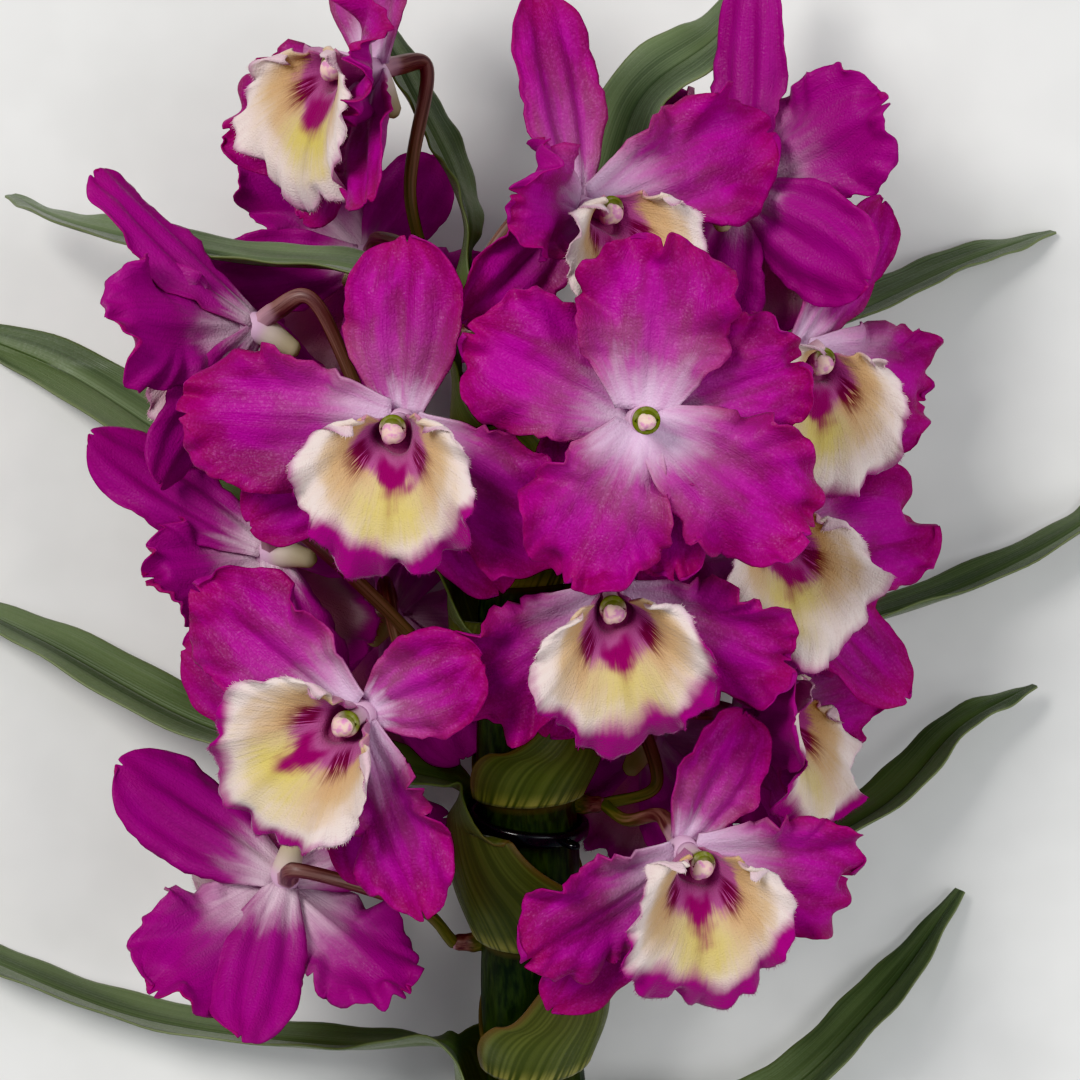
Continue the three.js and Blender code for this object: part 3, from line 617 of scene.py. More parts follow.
def lip_wings(paint, u, side, fur):
    """The dark strokes on both sides of the throat."""
    band = paint.times(paint.step(side, 0.3, 0.38), paint.step(side, 0.66, 0.58))
    band = paint.times(band, paint.step(paint.times(fur, 0.3, plus=u), 0.7, 0.5))
    band = paint.times(band, paint.step(u, 0.16, 0.28))
    return paint.times(band, paint.step(fur, 0.36, 0.46))


def lip_tongue(paint, u, side, haze, fur):
    """The magenta that runs out of the throat. Its border wanders with the haze."""
    calm = paint.times(haze, 0.3, plus=-0.16)
    along = paint.math("ADD", u, calm)
    beside = paint.math("ADD", side, calm)
    start = paint.times(paint.step(beside, 0.32, 0.12), paint.step(along, 0.12, 0.26))
    reach = paint.times(fur, 0.1, plus=paint.times(beside, 0.7, plus=along))
    return paint.times(start, paint.step(reach, 0.64, 0.42))


def lip_finish():
    material, paint, shader = finish(
        "lip velvet", 0.8, Sheen_Weight=0.25, Sheen_Roughness=0.5, Specular_IOR_Level=0.15,
    )
    u, v, seed = paint.mark("place")
    stain, yolk, back = paint.mark("tone")
    _, haze = veins_of(paint, 16.0, 0.5)
    _, normal = cells_of(paint, 2800.0, 0.0002, 0.5)
    side = paint.math("ABSOLUTE", v)
    fur = paint.noise(paint.drawn(u, 3.0, v, 34.0, seed), 1.5, 1.0)
    cloud = paint.times(haze, 0.34, plus=paint.times(fur, 0.12, plus=-0.23))
    out = paint.math("ADD", u, cloud)
    skin = lip_cream(paint, u, side, out, paint.math("ADD", side, cloud), fur, yolk)
    # The throat's own mauve, deepened towards the root by painted shade.
    throat_mauve_and_shade = paint.blend(paint.step(u, 0.25, 0.0), colour(164, 84, 132), colour(146, 80, 112))
    skin = paint.blend(paint.step(out, 0.46, 0.3), skin, throat_mauve_and_shade)
    skin = paint.blend(lip_wings(paint, u, side, fur), skin, colour(98, 0, 48))
    skin = paint.blend(lip_tongue(paint, u, side, haze, fur), skin, colour(132, 4, 84))
    stained = paint.times(fur, 0.4, plus=paint.times(haze, 1.8, plus=paint.math("ADD", stain, -1.1)))
    rim = paint.step(stained, -1.0, 0.8)
    skin = paint.blend(rim, skin, colour(146, 2, 108))
    behind = paint.blend(paint.step(u, 0.4, 1.0), colour(180, 110, 150), colour(206, 180, 186))
    behind = paint.blend(rim, behind, colour(140, 8, 108))
    paint.join(paint.blend(paint.times(back, 0.8), skin, behind), shader, "Base Color")
    paint.join(paint.relief(fur, 0.0003, 0.5, normal), shader, "Normal")
    return material


LIP = lip_finish()
print("lip finish:", len(LIP.node_tree.nodes), "nodes")

# %% [markdown]
# The column in the flower's middle is greenish white with an olive hood. It ends in a small cap of pale
# pink wax, which hides the pollen.

# %% Column finishes
def column_finish():
    material, paint, shader = finish("column wax", 0.6, Specular_IOR_Level=0.25)
    u, _, _ = paint.mark("place")
    hood, pink, _ = paint.mark("tone")
    grain = paint.noise(paint.where(), 900.0, 2.0)
    skin = paint.blend(paint.step(u, 0.0, 0.5), colour(204, 168, 192), colour(200, 184, 172))
    skin = paint.blend(paint.step(u, 0.45, 0.95), skin, colour(178, 164, 136))
    flecks = paint.blend(paint.step(grain, 0.4, 0.6), colour(196, 128, 166), colour(150, 40, 110))
    skin = paint.blend(pink, skin, flecks)
    skin = paint.blend(paint.times(hood, paint.step(grain, 0.2, 0.6, 0.7, 1.0)), skin, colour(98, 106, 24))
    paint.join(skin, shader, "Base Color")
    paint.join(paint.relief(grain, 0.0001, 0.3), shader, "Normal")
    return material


def cap_finish():
    material, paint, shader = finish(
        "anther cap", 0.55, Subsurface_Weight=0.15, Subsurface_Radius=(0.002, 0.001, 0.0015),
        Subsurface_Scale=1.0, Specular_IOR_Level=0.3,
    )
    grain = paint.step(paint.noise(paint.where(), 700.0, 2.0), 0.4, 0.65)
    paint.join(paint.blend(grain, colour(228, 196, 184), colour(206, 140, 178)), shader, "Base Color")
    return material


COLUMN = column_finish()
CAP = cap_finish()
print("finishes so far:", [m.name for m in (PETAL, LIP, COLUMN, CAP)])

# %% [markdown]
# ## Sepals and petals
#
# A petal's middle line is an arc that starts at its lean and turns by its curl. Its half width follows an
# outline, widest past the middle. On top of the broad waves of the plain solid come the small ones: they
# run round the margin, so they are sines of the angle about the petal's middle, strongest at the edge.
# Sepals are stiffer. They have folds along their length in place of the crisped margin.

# %% A flower's directions and its petals' sizes
TEPAL_ROOT = 1.7  # how far from a flower's axis its petals start, in mm


def face_of(flower):
    """The flower's centre, the way it looks, the way its top sepal points and its right-hand side."""
    facing = unit(flower["faces"])
    top = np.array(flower["up"], float)
    top = unit(top - facing * top.dot(facing))
    return np.array(flower["at"], float), facing, top, np.cross(top, facing)


def outline(u, widest):
    """Half the width along the length, as a share of the widest."""
    rising = 0.34 + 0.66 * np.sin(np.pi / 2 * np.clip(u / widest, 0, 1)) ** 1.2
    past = np.clip((u - widest) / (1 - widest), 0, 1)
    return np.where(u < widest, rising, 0.1 + 0.9 * np.sqrt(np.maximum(0, 1 - past**2.4)))


def tepals_of(flower):
    """The sizes of its sepals and petals. A petal is broad and starts nearer the front than a sepal."""
    peloric = flower.get("peloric", False)
    rows = PELORIC_TEPALS if peloric else flower.get("tepals", USUAL_TEPALS)
    made = []
    for i, (angle, length, width, lean) in enumerate(rows):
        petal = i > 2 if peloric else i in (1, 2)
        broad = petal or peloric
        made.append(dict(
            angle=math.radians(angle), length=length - TEPAL_ROOT, width=width, lean=math.radians(lean),
            root=-1 if petal else -3.6, curl=math.radians(-16 if petal else -10),
            widest=0.6 if broad else 0.52, wavy=1 if broad else 0.35, cup=1 if broad else 2, broad=broad,
        ))
    return made


print("the usual flower has", sum(tepal["broad"] for tepal in tepals_of({})), "broad petals and three sepals")


# %% How a margin is crisped
def crisping(around, chance, strength):
    """How far the margin is rolled up or down, in radians: three sines of the angle, whose pace wanders."""
    a, b, c, d = chance.uniform(0, 2 * np.pi, 4)
    wander = 1.1 * np.sin(2.3 * around + d)
    total = np.sin(5.5 * around + a + wander) + 0.5 * np.sin(13 * around + b - 1.4 * wander)
    return strength * (total + 0.2 * np.sin(29 * around + c + 2 * wander))


rolled = crisping(np.linspace(-np.pi, np.pi, 60), np.random.default_rng(1), 1)
print("a margin rolls between", round(rolled.min(), 2), "and", round(rolled.max(), 2), "at full strength")

# %% The form of one petal
PETAL_STEPS, SEPAL_STEPS = (42, 34), (34, 22)  # along and across
PETAL_ROLL, SEPAL_ROLL = (5.2, 0.62), (3.0, 0.3)  # how wide the rolled margin is, and how far it rolls
PETAL_FOLDS, SEPAL_FOLDS = (0.8, 2.4), (0.9, 2.8)  # how high the folds are, and how many
TEPAL_MIDDLE, TEPAL_EDGE = 0.6, 0.3  # how thick, in mm


def spread(amount, direction):
    return np.asarray(amount)[..., None] * direction


def tepal_skin(face, tepal, phase, pale, chance):
    centre, facing, top, right = face
    broad, length = tepal["broad"], tepal["length"]
    rows, columns = PETAL_STEPS if broad else SEPAL_STEPS
    u = np.sin(np.pi / 2 * np.linspace(0, 1, rows + 1))[:, None]
    v = np.linspace(-1, 1, columns + 1)[None]
    out = right * math.cos(tepal["angle"]) + top * math.sin(tepal["angle"])
    side = np.cross(facing, out)
    # The middle line, and the broad waves of the plain solid.
    lean, curl = tepal["lean"], tepal["curl"]
    slope = lean + curl * u
    run = length * (np.sin(slope) - math.sin(lean)) / curl
    rise = length * (math.cos(lean) - np.cos(slope)) / curl
    half = tepal["width"] / 2 * outline(u, tepal["widest"])
    wave = 1.9 * tepal["wavy"] * v * v * smooth(u, 0.15, 0.6)
    swing = np.sin(2 * np.pi * 1.9 * u + phase + np.where(v > 0, 0, 2.4))
    # The rolled margin.
    around = np.arctan2(half * v, (u - 0.4) * length)
    margin = np.maximum(np.abs(v) ** 2.6, smooth(u, 0.8, 1.0)) * smooth(u, 0.1, 0.4)
    zone, strength = PETAL_ROLL if broad else SEPAL_ROLL
    rolled = crisping(around, chance, strength * chance.uniform(0.8, 1.2))
    inward = zone * margin * (1 - np.cos(rolled))
    lift = 0.09 * tepal["cup"] * half * v * v + wave * swing + zone * margin * np.sin(rolled)
    # Folds that run with the length, and the groove down the middle.
    folds, turn = PETAL_FOLDS if broad else SEPAL_FOLDS
    a, b, c = chance.uniform(0, 2 * np.pi, 3)
    fold = np.sin(turn * np.pi * v + a + 0.8 * np.sin(3 * u + b))
    lift = lift + folds * fold * np.sin(np.pi * np.clip(u, 0, 1)) ** 1.2
    lift = lift - 0.5 * np.exp(-((v / 0.07) ** 2)) * smooth(u, 0.02, 0.2) * smooth(u, 1.0, 0.5)
    # Lobes of the outline, and a notch in the tip.
    lobes = 0.06 * np.sin(5.3 * around + c) + 0.03 * np.sin(12 * around + b) + 0.016 * np.sin(27 * around + a)
    half = half * (1 + margin * lobes * (1 if broad else 0.45))
    depth, middle = chance.uniform(0, 0.9), chance.uniform(-0.2, 0.2)
    notch = depth * np.exp(-(((v - middle) / 0.3) ** 2)) * smooth(u, 0.85, 1.0)
    reach = run - notch + margin * (0.9 if broad else 0.4) * np.sin(6 * v + c) * smooth(u, 0.7, 1.0)
    reach = reach - inward * np.cos(around)
    half_across = half * v - inward * np.sin(around)
    normal = spread(np.cos(slope), facing) - spread(np.sin(slope), out)
    root = centre + facing * tepal["root"] + out * TEPAL_ROOT
    grid = root + spread(reach, out) + spread(rise + 0 * v, facing) + spread(half_across, side)
    grid = grid + lift[..., None] * normal
    place = marks(u + 0 * v, v + 0 * u, chance.uniform(0, 60))
    tone = marks(pale + 0 * lift, np.maximum(np.abs(v) ** 5, smooth(u, 0.75, 1.0)), 0)
    return sheet(grid, mix(TEPAL_MIDDLE, TEPAL_EDGE, margin + 0 * lift), place, tone)


SAMPLE = face_of(dict(at=(0, 0, 60), faces=(0, 0, 1), up=(0, 1, 0)))
points = tepal_skin(SAMPLE, tepals_of({})[1], 0, 0.3, np.random.default_rng(1))[0]
print("a usual petal spans, in mm:", np.round(points.max(0) - points.min(0), 1))

# %% [markdown]
# Behind the petals is the boss that they grow from, drawn out below into a blunt chin. In front stands
# the column: a stub with a hood above and the cap below its tip.

# %% The heart of a flower
def rings(face, stations):
    """Centres and radii along a flower's axis, from (how far forward, how far down, radius)."""
    centre, facing, top, _ = face
    centres = [centre + facing * ahead - top * down for ahead, down, _ in stations]
    return centres, [radius for *_, radius in stations]


def boss_skin(face):
    path = curve([(-9, 7, 1.8), (-4.8, 2, 2.9), (-2.6, 0.2, 3.2), (-0.4, 0, 2.6)])
    stations = [path(share) for share in np.linspace(0, 1, 22)]
    centres, radii = rings(face, [(-9.7, 7.6, 0.9), *stations, (0.2, 0, 1.9)])
    skin = tube(centres, radii, 20)
    skin[2][:, 0] = smooth(skin[2][:, 0], 0.6, 0.0)
    return skin


def column_skins(face, peloric):
    """The shaft and the cap. A flower with no lip has a hood all round, with the cap in its middle."""
    top = face[2]
    centres, radii = rings(face, [
        (-0.6, 0, 2.4), (0.8, 0, 2.2), (3.4, 0, 2.0), (5.4, 0, 2.15), (6.6, 0, 2.4),
        (7.6, 0, 2.6), (8.2, 0, 2.45), (8.3, 0, 1.9), (7.7, 0, 1.2),
    ])
    shaft = tube(centres, radii, 28)
    outward = (shaft[0] - np.repeat(np.array(centres), 28, 0)) @ top
    hood = smooth(shaft[2][:, 0], 0.4, 0.6) * (1 if peloric else smooth(outward, 0.4, 1.6))
    shaft[3][:] = marks(hood, 0 if peloric else 0.8 * smooth(outward, 0.8, -1.0), 0)
    sink, size = (0.3, 1.9) if peloric else (0.9, 2.35)
    angles = np.linspace(-1.1, math.pi / 2, 14)
    dome = [(7.2 + 2.4 * math.sin(a), sink, max(0.05, size * math.cos(a))) for a in angles]
    centres, radii = rings(face, dome)
    turn = 2 * np.pi * np.arange(24) / 24
    lobed = 1 - 0.16 * np.exp(-((np.cos(turn) / 0.3) ** 2)) + 0.06 * np.cos(3 * turn)
    return shaft, tube(centres, np.array(radii)[:, None] * lobed, 24)


print("points in the shaft and the cap:", [len(skin[0]) for skin in column_skins(SAMPLE, False)])

# %% Build the sepals, petals and hearts
for index, flower in enumerate(FLOWERS):
    chance = np.random.default_rng(ROLLS[index])
    number = f"{index + 1:02d}"
    face = face_of(flower)
    pale = LOOKS[index][0]
    skins = []
    for i, tepal in enumerate(tepals_of(flower)):
        white = pale if tepal["broad"] else 0.6 * pale
        skins.append((tepal_skin(face, tepal, index * 1.7 + i * 2.3, white, chance), 0))
    shaft, cap = column_skins(face, flower.get("peloric", False))
    skins += [(boss_skin(face), 1), (shaft, 1), (cap, 2)]
    piece("bloom_" + number, skins, [PETAL, COLUMN, CAP], "flower_" + number)
print("blooms:", sum(n for name, n in triangles.items() if name.startswith("bloom")), "triangles")

# %% [markdown]
# ## The lip
#
# The lip is a wide trumpet, slit above, that folds round the column. It is written as rings that grow from
# the tube's radius to the mouth's and move down and forward. Its margin is finely crisped, and short
# pleats run in from it.

# %% The form of a lip
LIP_WRAP = 150  # how far round from the lowest line each side of the lip reaches, in degrees
TUBE_RADIUS, MOUTH_RADIUS = 5, 17
TUBE_DROP, MOUTH_DROP = 2.2, 11.5  # how far the rings' middles lie below the flower's axis
TUBE_START, LIP_DEPTH = 2.4, 11
PLEATS = ((0, 0.06, 2.6), (0.3, 0.05, 2.0), (-0.3, 0.05, 2.0), (0.52, 0.04, 1.2), (-0.52, 0.04, 1.2))


def lip_grid(face, phase, u, v, chance):
    """u is 0 at the tube's start, 1 at the margin and below 0 on the floor that closes the tube."""
    centre, facing, top, right = face
    turn = math.radians(LIP_WRAP) * v
    low = np.maximum(0, np.cos(turn))
    inside = np.clip(-u / 0.15, 0, 1)
    u = np.maximum(u, 0)
    # The trumpet, with the broad waves of the plain solid.
    flare = smooth(u, 0.1, 1.25) / smooth(1.0, 0.1, 1.25)
    shallow = 1 - smooth(u, 0, 0.4)
    radius = mix(TUBE_RADIUS, MOUTH_RADIUS, flare) - 1.4 * shallow - 1.5 * inside
    drop = mix(TUBE_DROP, MOUTH_DROP, flare) - 0.9 * shallow - inside
    depth = LIP_DEPTH * np.sin(np.pi / 2 * np.minimum(1, u * 1.1)) ** 0.9 + 3 * low * shallow - inside
    lift = 3 * np.sin(turn) ** 2 * u**2 - 4.5 * low**2 * u**3 + 1.2 * u**4 * np.sin(15 * v + phase)
    # The crisped margin: its frills, the ribs that run in from it and its scallops.
    a, b, c, d = chance.uniform(0, 2 * np.pi, 4)
    wander = 1.2 * np.sin(4 * v + d)
    lift = lift + u**5 * 1.5 * np.sin(21 * v + a + wander)
    lift = lift + u**8 * (0.9 * np.sin(43 * v + b - wander) + 0.25 * np.sin(84 * v + c))
    lift = lift + 0.2 * np.sin(38 * v + c) * u**2 * (1 - u**6) - 1.6 * low * smooth(u, 0.78, 1.0)
    scallops = 0.8 * (np.abs(np.sin(19 * v + b + wander)) - 0.6)
    scallops = scallops + 0.35 * (np.abs(np.sin(47 * v + d + wander)) - 0.6)
    radius = radius + u**6 * 0.8 * np.sin(11 * v + b) + u**8 * scallops
    for place, wide, deep in PLEATS:
        place = place + chance.uniform(-0.07, 0.07)
        pleat = np.exp(-(((v - place) / wide) ** 2))
        radius = radius - deep * chance.uniform(0.5, 1.3) * pleat * smooth(u, 0.76, 1.0)
    radius = radius - 3.4 * smooth(np.abs(v), 0.84, 1.0) ** 2 * u**4
    radius = radius + 0.5 * np.sin(3 * turn + phase) * (1 - flare)
    # The two upper edges, beside the slit.
    edge = smooth(np.abs(v), 0.78, 1.0) * smooth(u, 0.15, 0.5)
    radius = radius + edge * 0.7 * np.sin(17 * u + phase)
    ahead = (TUBE_START + depth + lift + edge * 0.9 * np.sin(22 * u + a))[..., None]
    around = spread(radius * np.sin(turn), right) - spread(drop + radius * np.cos(turn), top)
    return centre + around + ahead * facing


# %% Build the lips
LIP_ROWS, LIP_COLUMNS = 32, 120
LIP_THROAT, LIP_EDGE = 0.6, 0.28  # how thick, in mm
margins = {}


def stained(u, v, apex, phase):
    """How far a point lies past the border of the magenta edge. apex is how wide that edge is."""
    lobes = 0.05 * np.sin(10 * v + phase) + 0.035 * np.sin(23 * v + 2 * phase)
    below = 1 - smooth(np.abs(v + 0.08 * math.sin(phase)), 0.3, 0.72)
    return np.clip((u - (1.03 - 0.27 * apex * below + apex * lobes)) / 0.1, -1.5, 1.5)


for index, flower in enumerate(FLOWERS):
    if flower.get("peloric"):
        continue
    number = f"{index + 1:02d}"
    u = np.concatenate([[-0.15, -0.1, -0.05], np.linspace(0, 1, LIP_ROWS - 2) ** 0.85])[:, None]
    u, v = np.broadcast_arrays(u, np.linspace(-1, 1, LIP_COLUMNS + 1)[None])
    grid = lip_grid(face_of(flower), index * 1.3, u, v, np.random.default_rng(300 + index))
    _, apex, yolk = LOOKS[index]
    stain = stained(u, v, apex, index * 1.3)
    thick = mix(LIP_THROAT, LIP_EDGE, np.maximum(u, 0) ** 4)
    skin = sheet(grid, thick, marks(u, v, index * 3.7), marks(stain, yolk, 0))
    piece("velvet_lip_" + number, [(skin, 0)], [LIP], "lip_" + number)
    margins[number] = grid, stain
print("lips:", len(margins), "with", triangles["velvet_lip_01"], "triangles each")

# %% [markdown]
# ## The lip's fringe
#
# Velvet is made of hairs. Along the lip's margin they show against the petals as a soft fringe. Hairs that
# stand along a line are a job for Geometry Nodes: the tree walks the line, puts a thin cone at each step,
# turns it the way the margin grows, and gives it a length of its own. The tree has named inputs, so each
# row of hairs can be denser or shorter than the last.

# %% A tree that stands hairs along a line
FRINGE_SOCKETS = (
    ("Geometry", "NodeSocketGeometry", None), ("Hairs", "NodeSocketInt", 200),
    ("Length", "NodeSocketFloat", 0.001), ("Radius", "NodeSocketFloat", 0.00009),
    ("Seed", "NodeSocketInt", 1), ("Finish", "NodeSocketMaterial", None),
)


def fringe_tree():
    tree = bpy.data.node_groups.new("fringe", "GeometryNodeTree")
    for name, kind, value in FRINGE_SOCKETS:
        made = tree.interface.new_socket(name, in_out="INPUT", socket_type=kind)
        if value is not None:
            made.default_value = value
    tree.interface.new_socket("Geometry", in_out="OUTPUT", socket_type="NodeSocketGeometry")
    put = Paint(tree).put
    given = put("NodeGroupInput").outputs
    line = put("GeometryNodeMeshToCurve", {"Mesh": given["Geometry"]}).outputs[0]
    even = put("GeometryNodeResampleCurve", {"Curve": line, "Count": given["Hairs"]}).outputs[0]
    sizes = {"Vertices": 3, "Radius Bottom": given["Radius"], "Depth": given["Length"]}
    hair = put("GeometryNodeMeshCone", sizes, fill_type="TRIANGLE_FAN").outputs[0]
    named = put("GeometryNodeInputNamedAttribute", {"Name": "grows"}, data_type="FLOAT_VECTOR")
    ends = {0: (-0.5, -0.5, -0.5), 1: (0.5, 0.5, 0.5), "Seed": given["Seed"]}
    stray = put("FunctionNodeRandomValue", ends, data_type="FLOAT_VECTOR").outputs[0]
    grows = named.outputs["Attribute"]
    heading = put("ShaderNodeVectorMath", {0: grows, 1: stray}, operation="ADD").outputs[0]
    turned = put("FunctionNodeAlignEulerToVector", {"Vector": heading}, axis="Z").outputs[0]
    lengths = {2: 0.45, 3: 1.25, "Seed": given["Seed"]}
    size = put("FunctionNodeRandomValue", lengths, data_type="FLOAT").outputs[1]
    stood = put("GeometryNodeInstanceOnPoints",
                {"Points": even, "Instance": hair, "Rotation": turned, "Scale": size}).outputs[0]
    real = put("GeometryNodeRealizeInstances", {0: stood}).outputs[0]
    dressed = put("GeometryNodeSetMaterial", {"Geometry": real, "Material": given["Finish"]}).outputs[0]
    put("NodeGroupOutput", {0: dressed})
    return tree


FRINGE = fringe_tree()
FRINGE_INPUTS = {item.name: item.identifier for item in FRINGE.interface.items_tree if item.in_out == "INPUT"}
print("fringe tree:", len(FRINGE.nodes), "nodes, inputs", list(FRINGE_INPUTS))


# %% Comb the fringes
HAIR_RADIUS = 0.00007
HAIR_ROWS = ((-1, 360, 0.0007), (-3, 240, 0.0006))  # which row of the lip, how many hairs, how long


def fringe_finish():
    material, paint, shader = finish("fringe", 0.8, Sheen_Weight=0.2)
    stain, _, _ = paint.mark("tone")
    grain = paint.noise(paint.where(), 260.0, 2.0)
    cream = paint.blend(paint.step(grain, 0.35, 0.65), colour(224, 208, 198), colour(208, 176, 184))
    tips = paint.blend(paint.step(stain, -0.3, 0.3), cream, colour(146, 2, 108))
    paint.join(tips, shader, "Base Color")
    return material


HAIR = fringe_finish()


def comb(line, grows, stain, hairs, length, seed):
    """Hairs along a line. Returns their mesh, which keeps the line's stain at every point."""
    mesh = bpy.data.meshes.new("line")
    mesh.from_pydata(((line + SHIFT) * MM).tolist(), [(i, i + 1) for i in range(len(line) - 1)], [])
    keep(mesh, "grows", grows / np.linalg.norm(grows, axis=1, keepdims=True))
    keep(mesh, "tone", marks(stain, 0, 0))
    base = show("line", mesh)
    nodes = base.modifiers.new("fringe", "NODES")
    nodes.node_group = FRINGE
    chosen = {"Hairs": hairs, "Length": length, "Radius": HAIR_RADIUS, "Seed": seed, "Finish": HAIR}
    for key, value in chosen.items():
        nodes[FRINGE_INPUTS[key]] = value
    plain = bpy.data.meshes.new_from_object(base.evaluated_get(bpy.context.evaluated_depsgraph_get()))
    base.modifiers.clear()
    bpy.data.objects.remove(base)
    return plain


def numbers_of(data, key):
    """Three numbers a point, read back from a mesh."""
    flat = np.zeros(len(data) * 3, np.float32)
    data.foreach_get(key, flat)
    return flat.reshape(-1, 3)


for number, (grid, stain) in margins.items():
    points, faces, tones = [], [], []
    for row, hairs, length in HAIR_ROWS:
        mesh = comb(grid[row], grid[row] - grid[row - 2], stain[row], hairs, length, 7 * int(number) - row)
        faces += [[len(points) + i for i in face.vertices] for face in mesh.polygons]
        ends = numbers_of(mesh.vertices, "co")
        ends[:, 2] = np.maximum(ends[:, 2], FLOOR * MM)
        points += ends.tolist()
        tones.append(numbers_of(mesh.attributes["tone"].data, "vector"))
    whole = bpy.data.meshes.new("fringe_" + number)
    whole.from_pydata(points, [], faces)
    keep(whole, "tone", np.concatenate(tones))
    whole.materials.append(HAIR)
    settle(show("fringe_" + number, whole), None)
print("hairs:", sum(n for name, n in triangles.items() if name.startswith("fringe")), "triangles")

# %% [markdown]
# ## The cane
#
# The cane is a row of joints. Each swells between two rings, is grooved along its length where the tissue
# has shrunk, and has a scar at its ring where a leaf's sheath grew. The lower end is a clean cut.

# %% The cane's line and girth
CANE_LINE = curve([
    (1, -158, 10.5), (0, -130, 16), (-1.5, -100, 26), (-2.5, -60, 39),
    (-3.5, -15, 47), (-6, 25, 50), (-10, 60, 52),
])
SHARES = np.linspace(0, 1, 3001)
HEIGHTS = np.array([CANE_LINE(share)[1] for share in SHARES])


def cane_at(y):
    """The cane's centre, direction and radius at a height Y along it."""
    share = float(np.interp(y, HEIGHTS, SHARES))
    ring = max([0] + [i for i, node in enumerate(CANE_NODES) if node <= y])
    after = min(ring + 1, len(CANE_NODES) - 1)
    joint = CANE_NODES[after] - CANE_NODES[ring]
    between = min(1, max(0, (y - CANE_NODES[ring]) / joint)) if joint else 0
    swell = mix(CANE_WAIST, 1, math.sin(math.pi * between) ** 0.6 if 0 < between < 1 else 0)
    radius = mix(CANE_RADII[ring], CANE_RADII[after], between) * swell
    return CANE_LINE(share), toward(CANE_LINE, share), radius


print("the cane is", round(2 * cane_at(-95)[2], 1), "mm thick in its third joint")


# %% Cane finish
def cane_finish():
    material, paint, shader = finish("cane green", 0.42, Specular_IOR_Level=0.4)
    u, v, _ = paint.mark("place")
    cut, ring, _ = paint.mark("tone")
    streak = paint.noise(paint.drawn(u, 8.0, v, 22.0), 1.0, 3.0, 0.6)
    skin = paint.blend(paint.step(streak, 0.35, 0.7), colour(15, 24, 10), colour(38, 50, 21))
    skin = paint.blend(paint.times(ring, 0.8), skin, colour(74, 62, 34))
    pith = paint.put("ShaderNodeTexVoronoi", {"Vector": paint.where(), "Scale": 900.0}).outputs["Distance"]
    flesh = paint.blend(paint.step(pith, 0.15, 0.4), colour(122, 112, 62), colour(176, 180, 120))
    paint.join(paint.blend(cut, skin, flesh), shader, "Base Color")
    paint.join(paint.relief(streak, 0.0004, 0.45), shader, "Normal")
    return material


CANE = cane_finish()
print("cane finish:", len(CANE.node_tree.nodes), "nodes")

# %% Build the cane
SIDES = 56
angles = 2 * np.pi * np.arange(SIDES) / SIDES
stations = []
for lower, upper in zip(CANE_NODES, CANE_NODES[1:]):
    shares = (0, 0.012, 0.03, 0.06, *np.linspace(0.12, 0.9, 9), 0.96)
    stations += [lower + (upper - lower) * share for share in shares]
stations.append(CANE_NODES[-1])
centres, radii, ring_marks = [], [], []
for y in stations:
    centre, heading, radius = cane_at(y)
    near = min(abs(y - node) for node in CANE_NODES)
    scar = math.exp(-((near / 0.7) ** 2))
    grooves = 1 - 0.02 * (1 - scar) * (0.5 + 0.5 * np.cos(11 * angles + 0.02 * y)) ** 2
    grooves = grooves - 0.008 * np.cos(23 * angles + 2)
    centres.append(centre)
    radii.append((radius + 0.35 * scar) * grooves)
    ring_marks.append(scar)

# A blunt tip above, and below the cut, whose face is drawn in a little towards its middle.
heading = toward(CANE_LINE, 1)
tip = centres[-1]
for ahead_by, girth in ((1.4, 0.8), (2.4, 0.5), (3.0, 0.2)):
    centres.append(tip + heading * ahead_by)
    radii.append(np.full(SIDES, CANE_RADII[-1] * CANE_WAIST * girth))
    ring_marks.append(0.3)
heading = toward(CANE_LINE, 0.01)
centres = [centres[0] + heading * inset for inset in (0.5, 0.3, 0.05)] + centres
radii = [radii[0] * girth for girth in (0.15, 0.6, 0.93)] + radii
ring_marks = [0, 0, 0] + ring_marks
is_cut = [1.0] * 3 + [0.0] * (len(centres) - 3)
u = np.repeat(np.linspace(0, 10, len(centres)), SIDES)
cane = tube(centres, radii, SIDES, marks(u, np.tile(angles / np.pi - 1, len(centres)), 0))
cane[3][:] = marks(np.repeat(is_cut, SIDES), np.repeat(ring_marks, SIDES), 0)
piece("cane_grooved", [(cane, 0)], [CANE], "cane")
print("cane:", triangles["cane_grooved"], "triangles")

# %% [markdown]
# ## Leaves
#
# Each leaf starts as a sheath that is rolled round the cane, opens at its mouth, and goes on as a strap.
# It is one sheet whose cross-section is an arc: nearly closed on the sheath, almost flat on the blade.
# The blade is creased along its middle and its veins run side by side, as in all the leaves of this family.

# %% The form of a leaf
SHEATH_FOOT = 1.2  # how far a sheath stands off the cane at its foot, in mm
SHEATH_GAP = 3.1  # and past its foot
SHEATH_FLARE = 1.9  # how much farther at its mouth
SHEATH_WRAP, MOUTH_WRAP = 160, 78  # how far round the cane each side reaches, in degrees


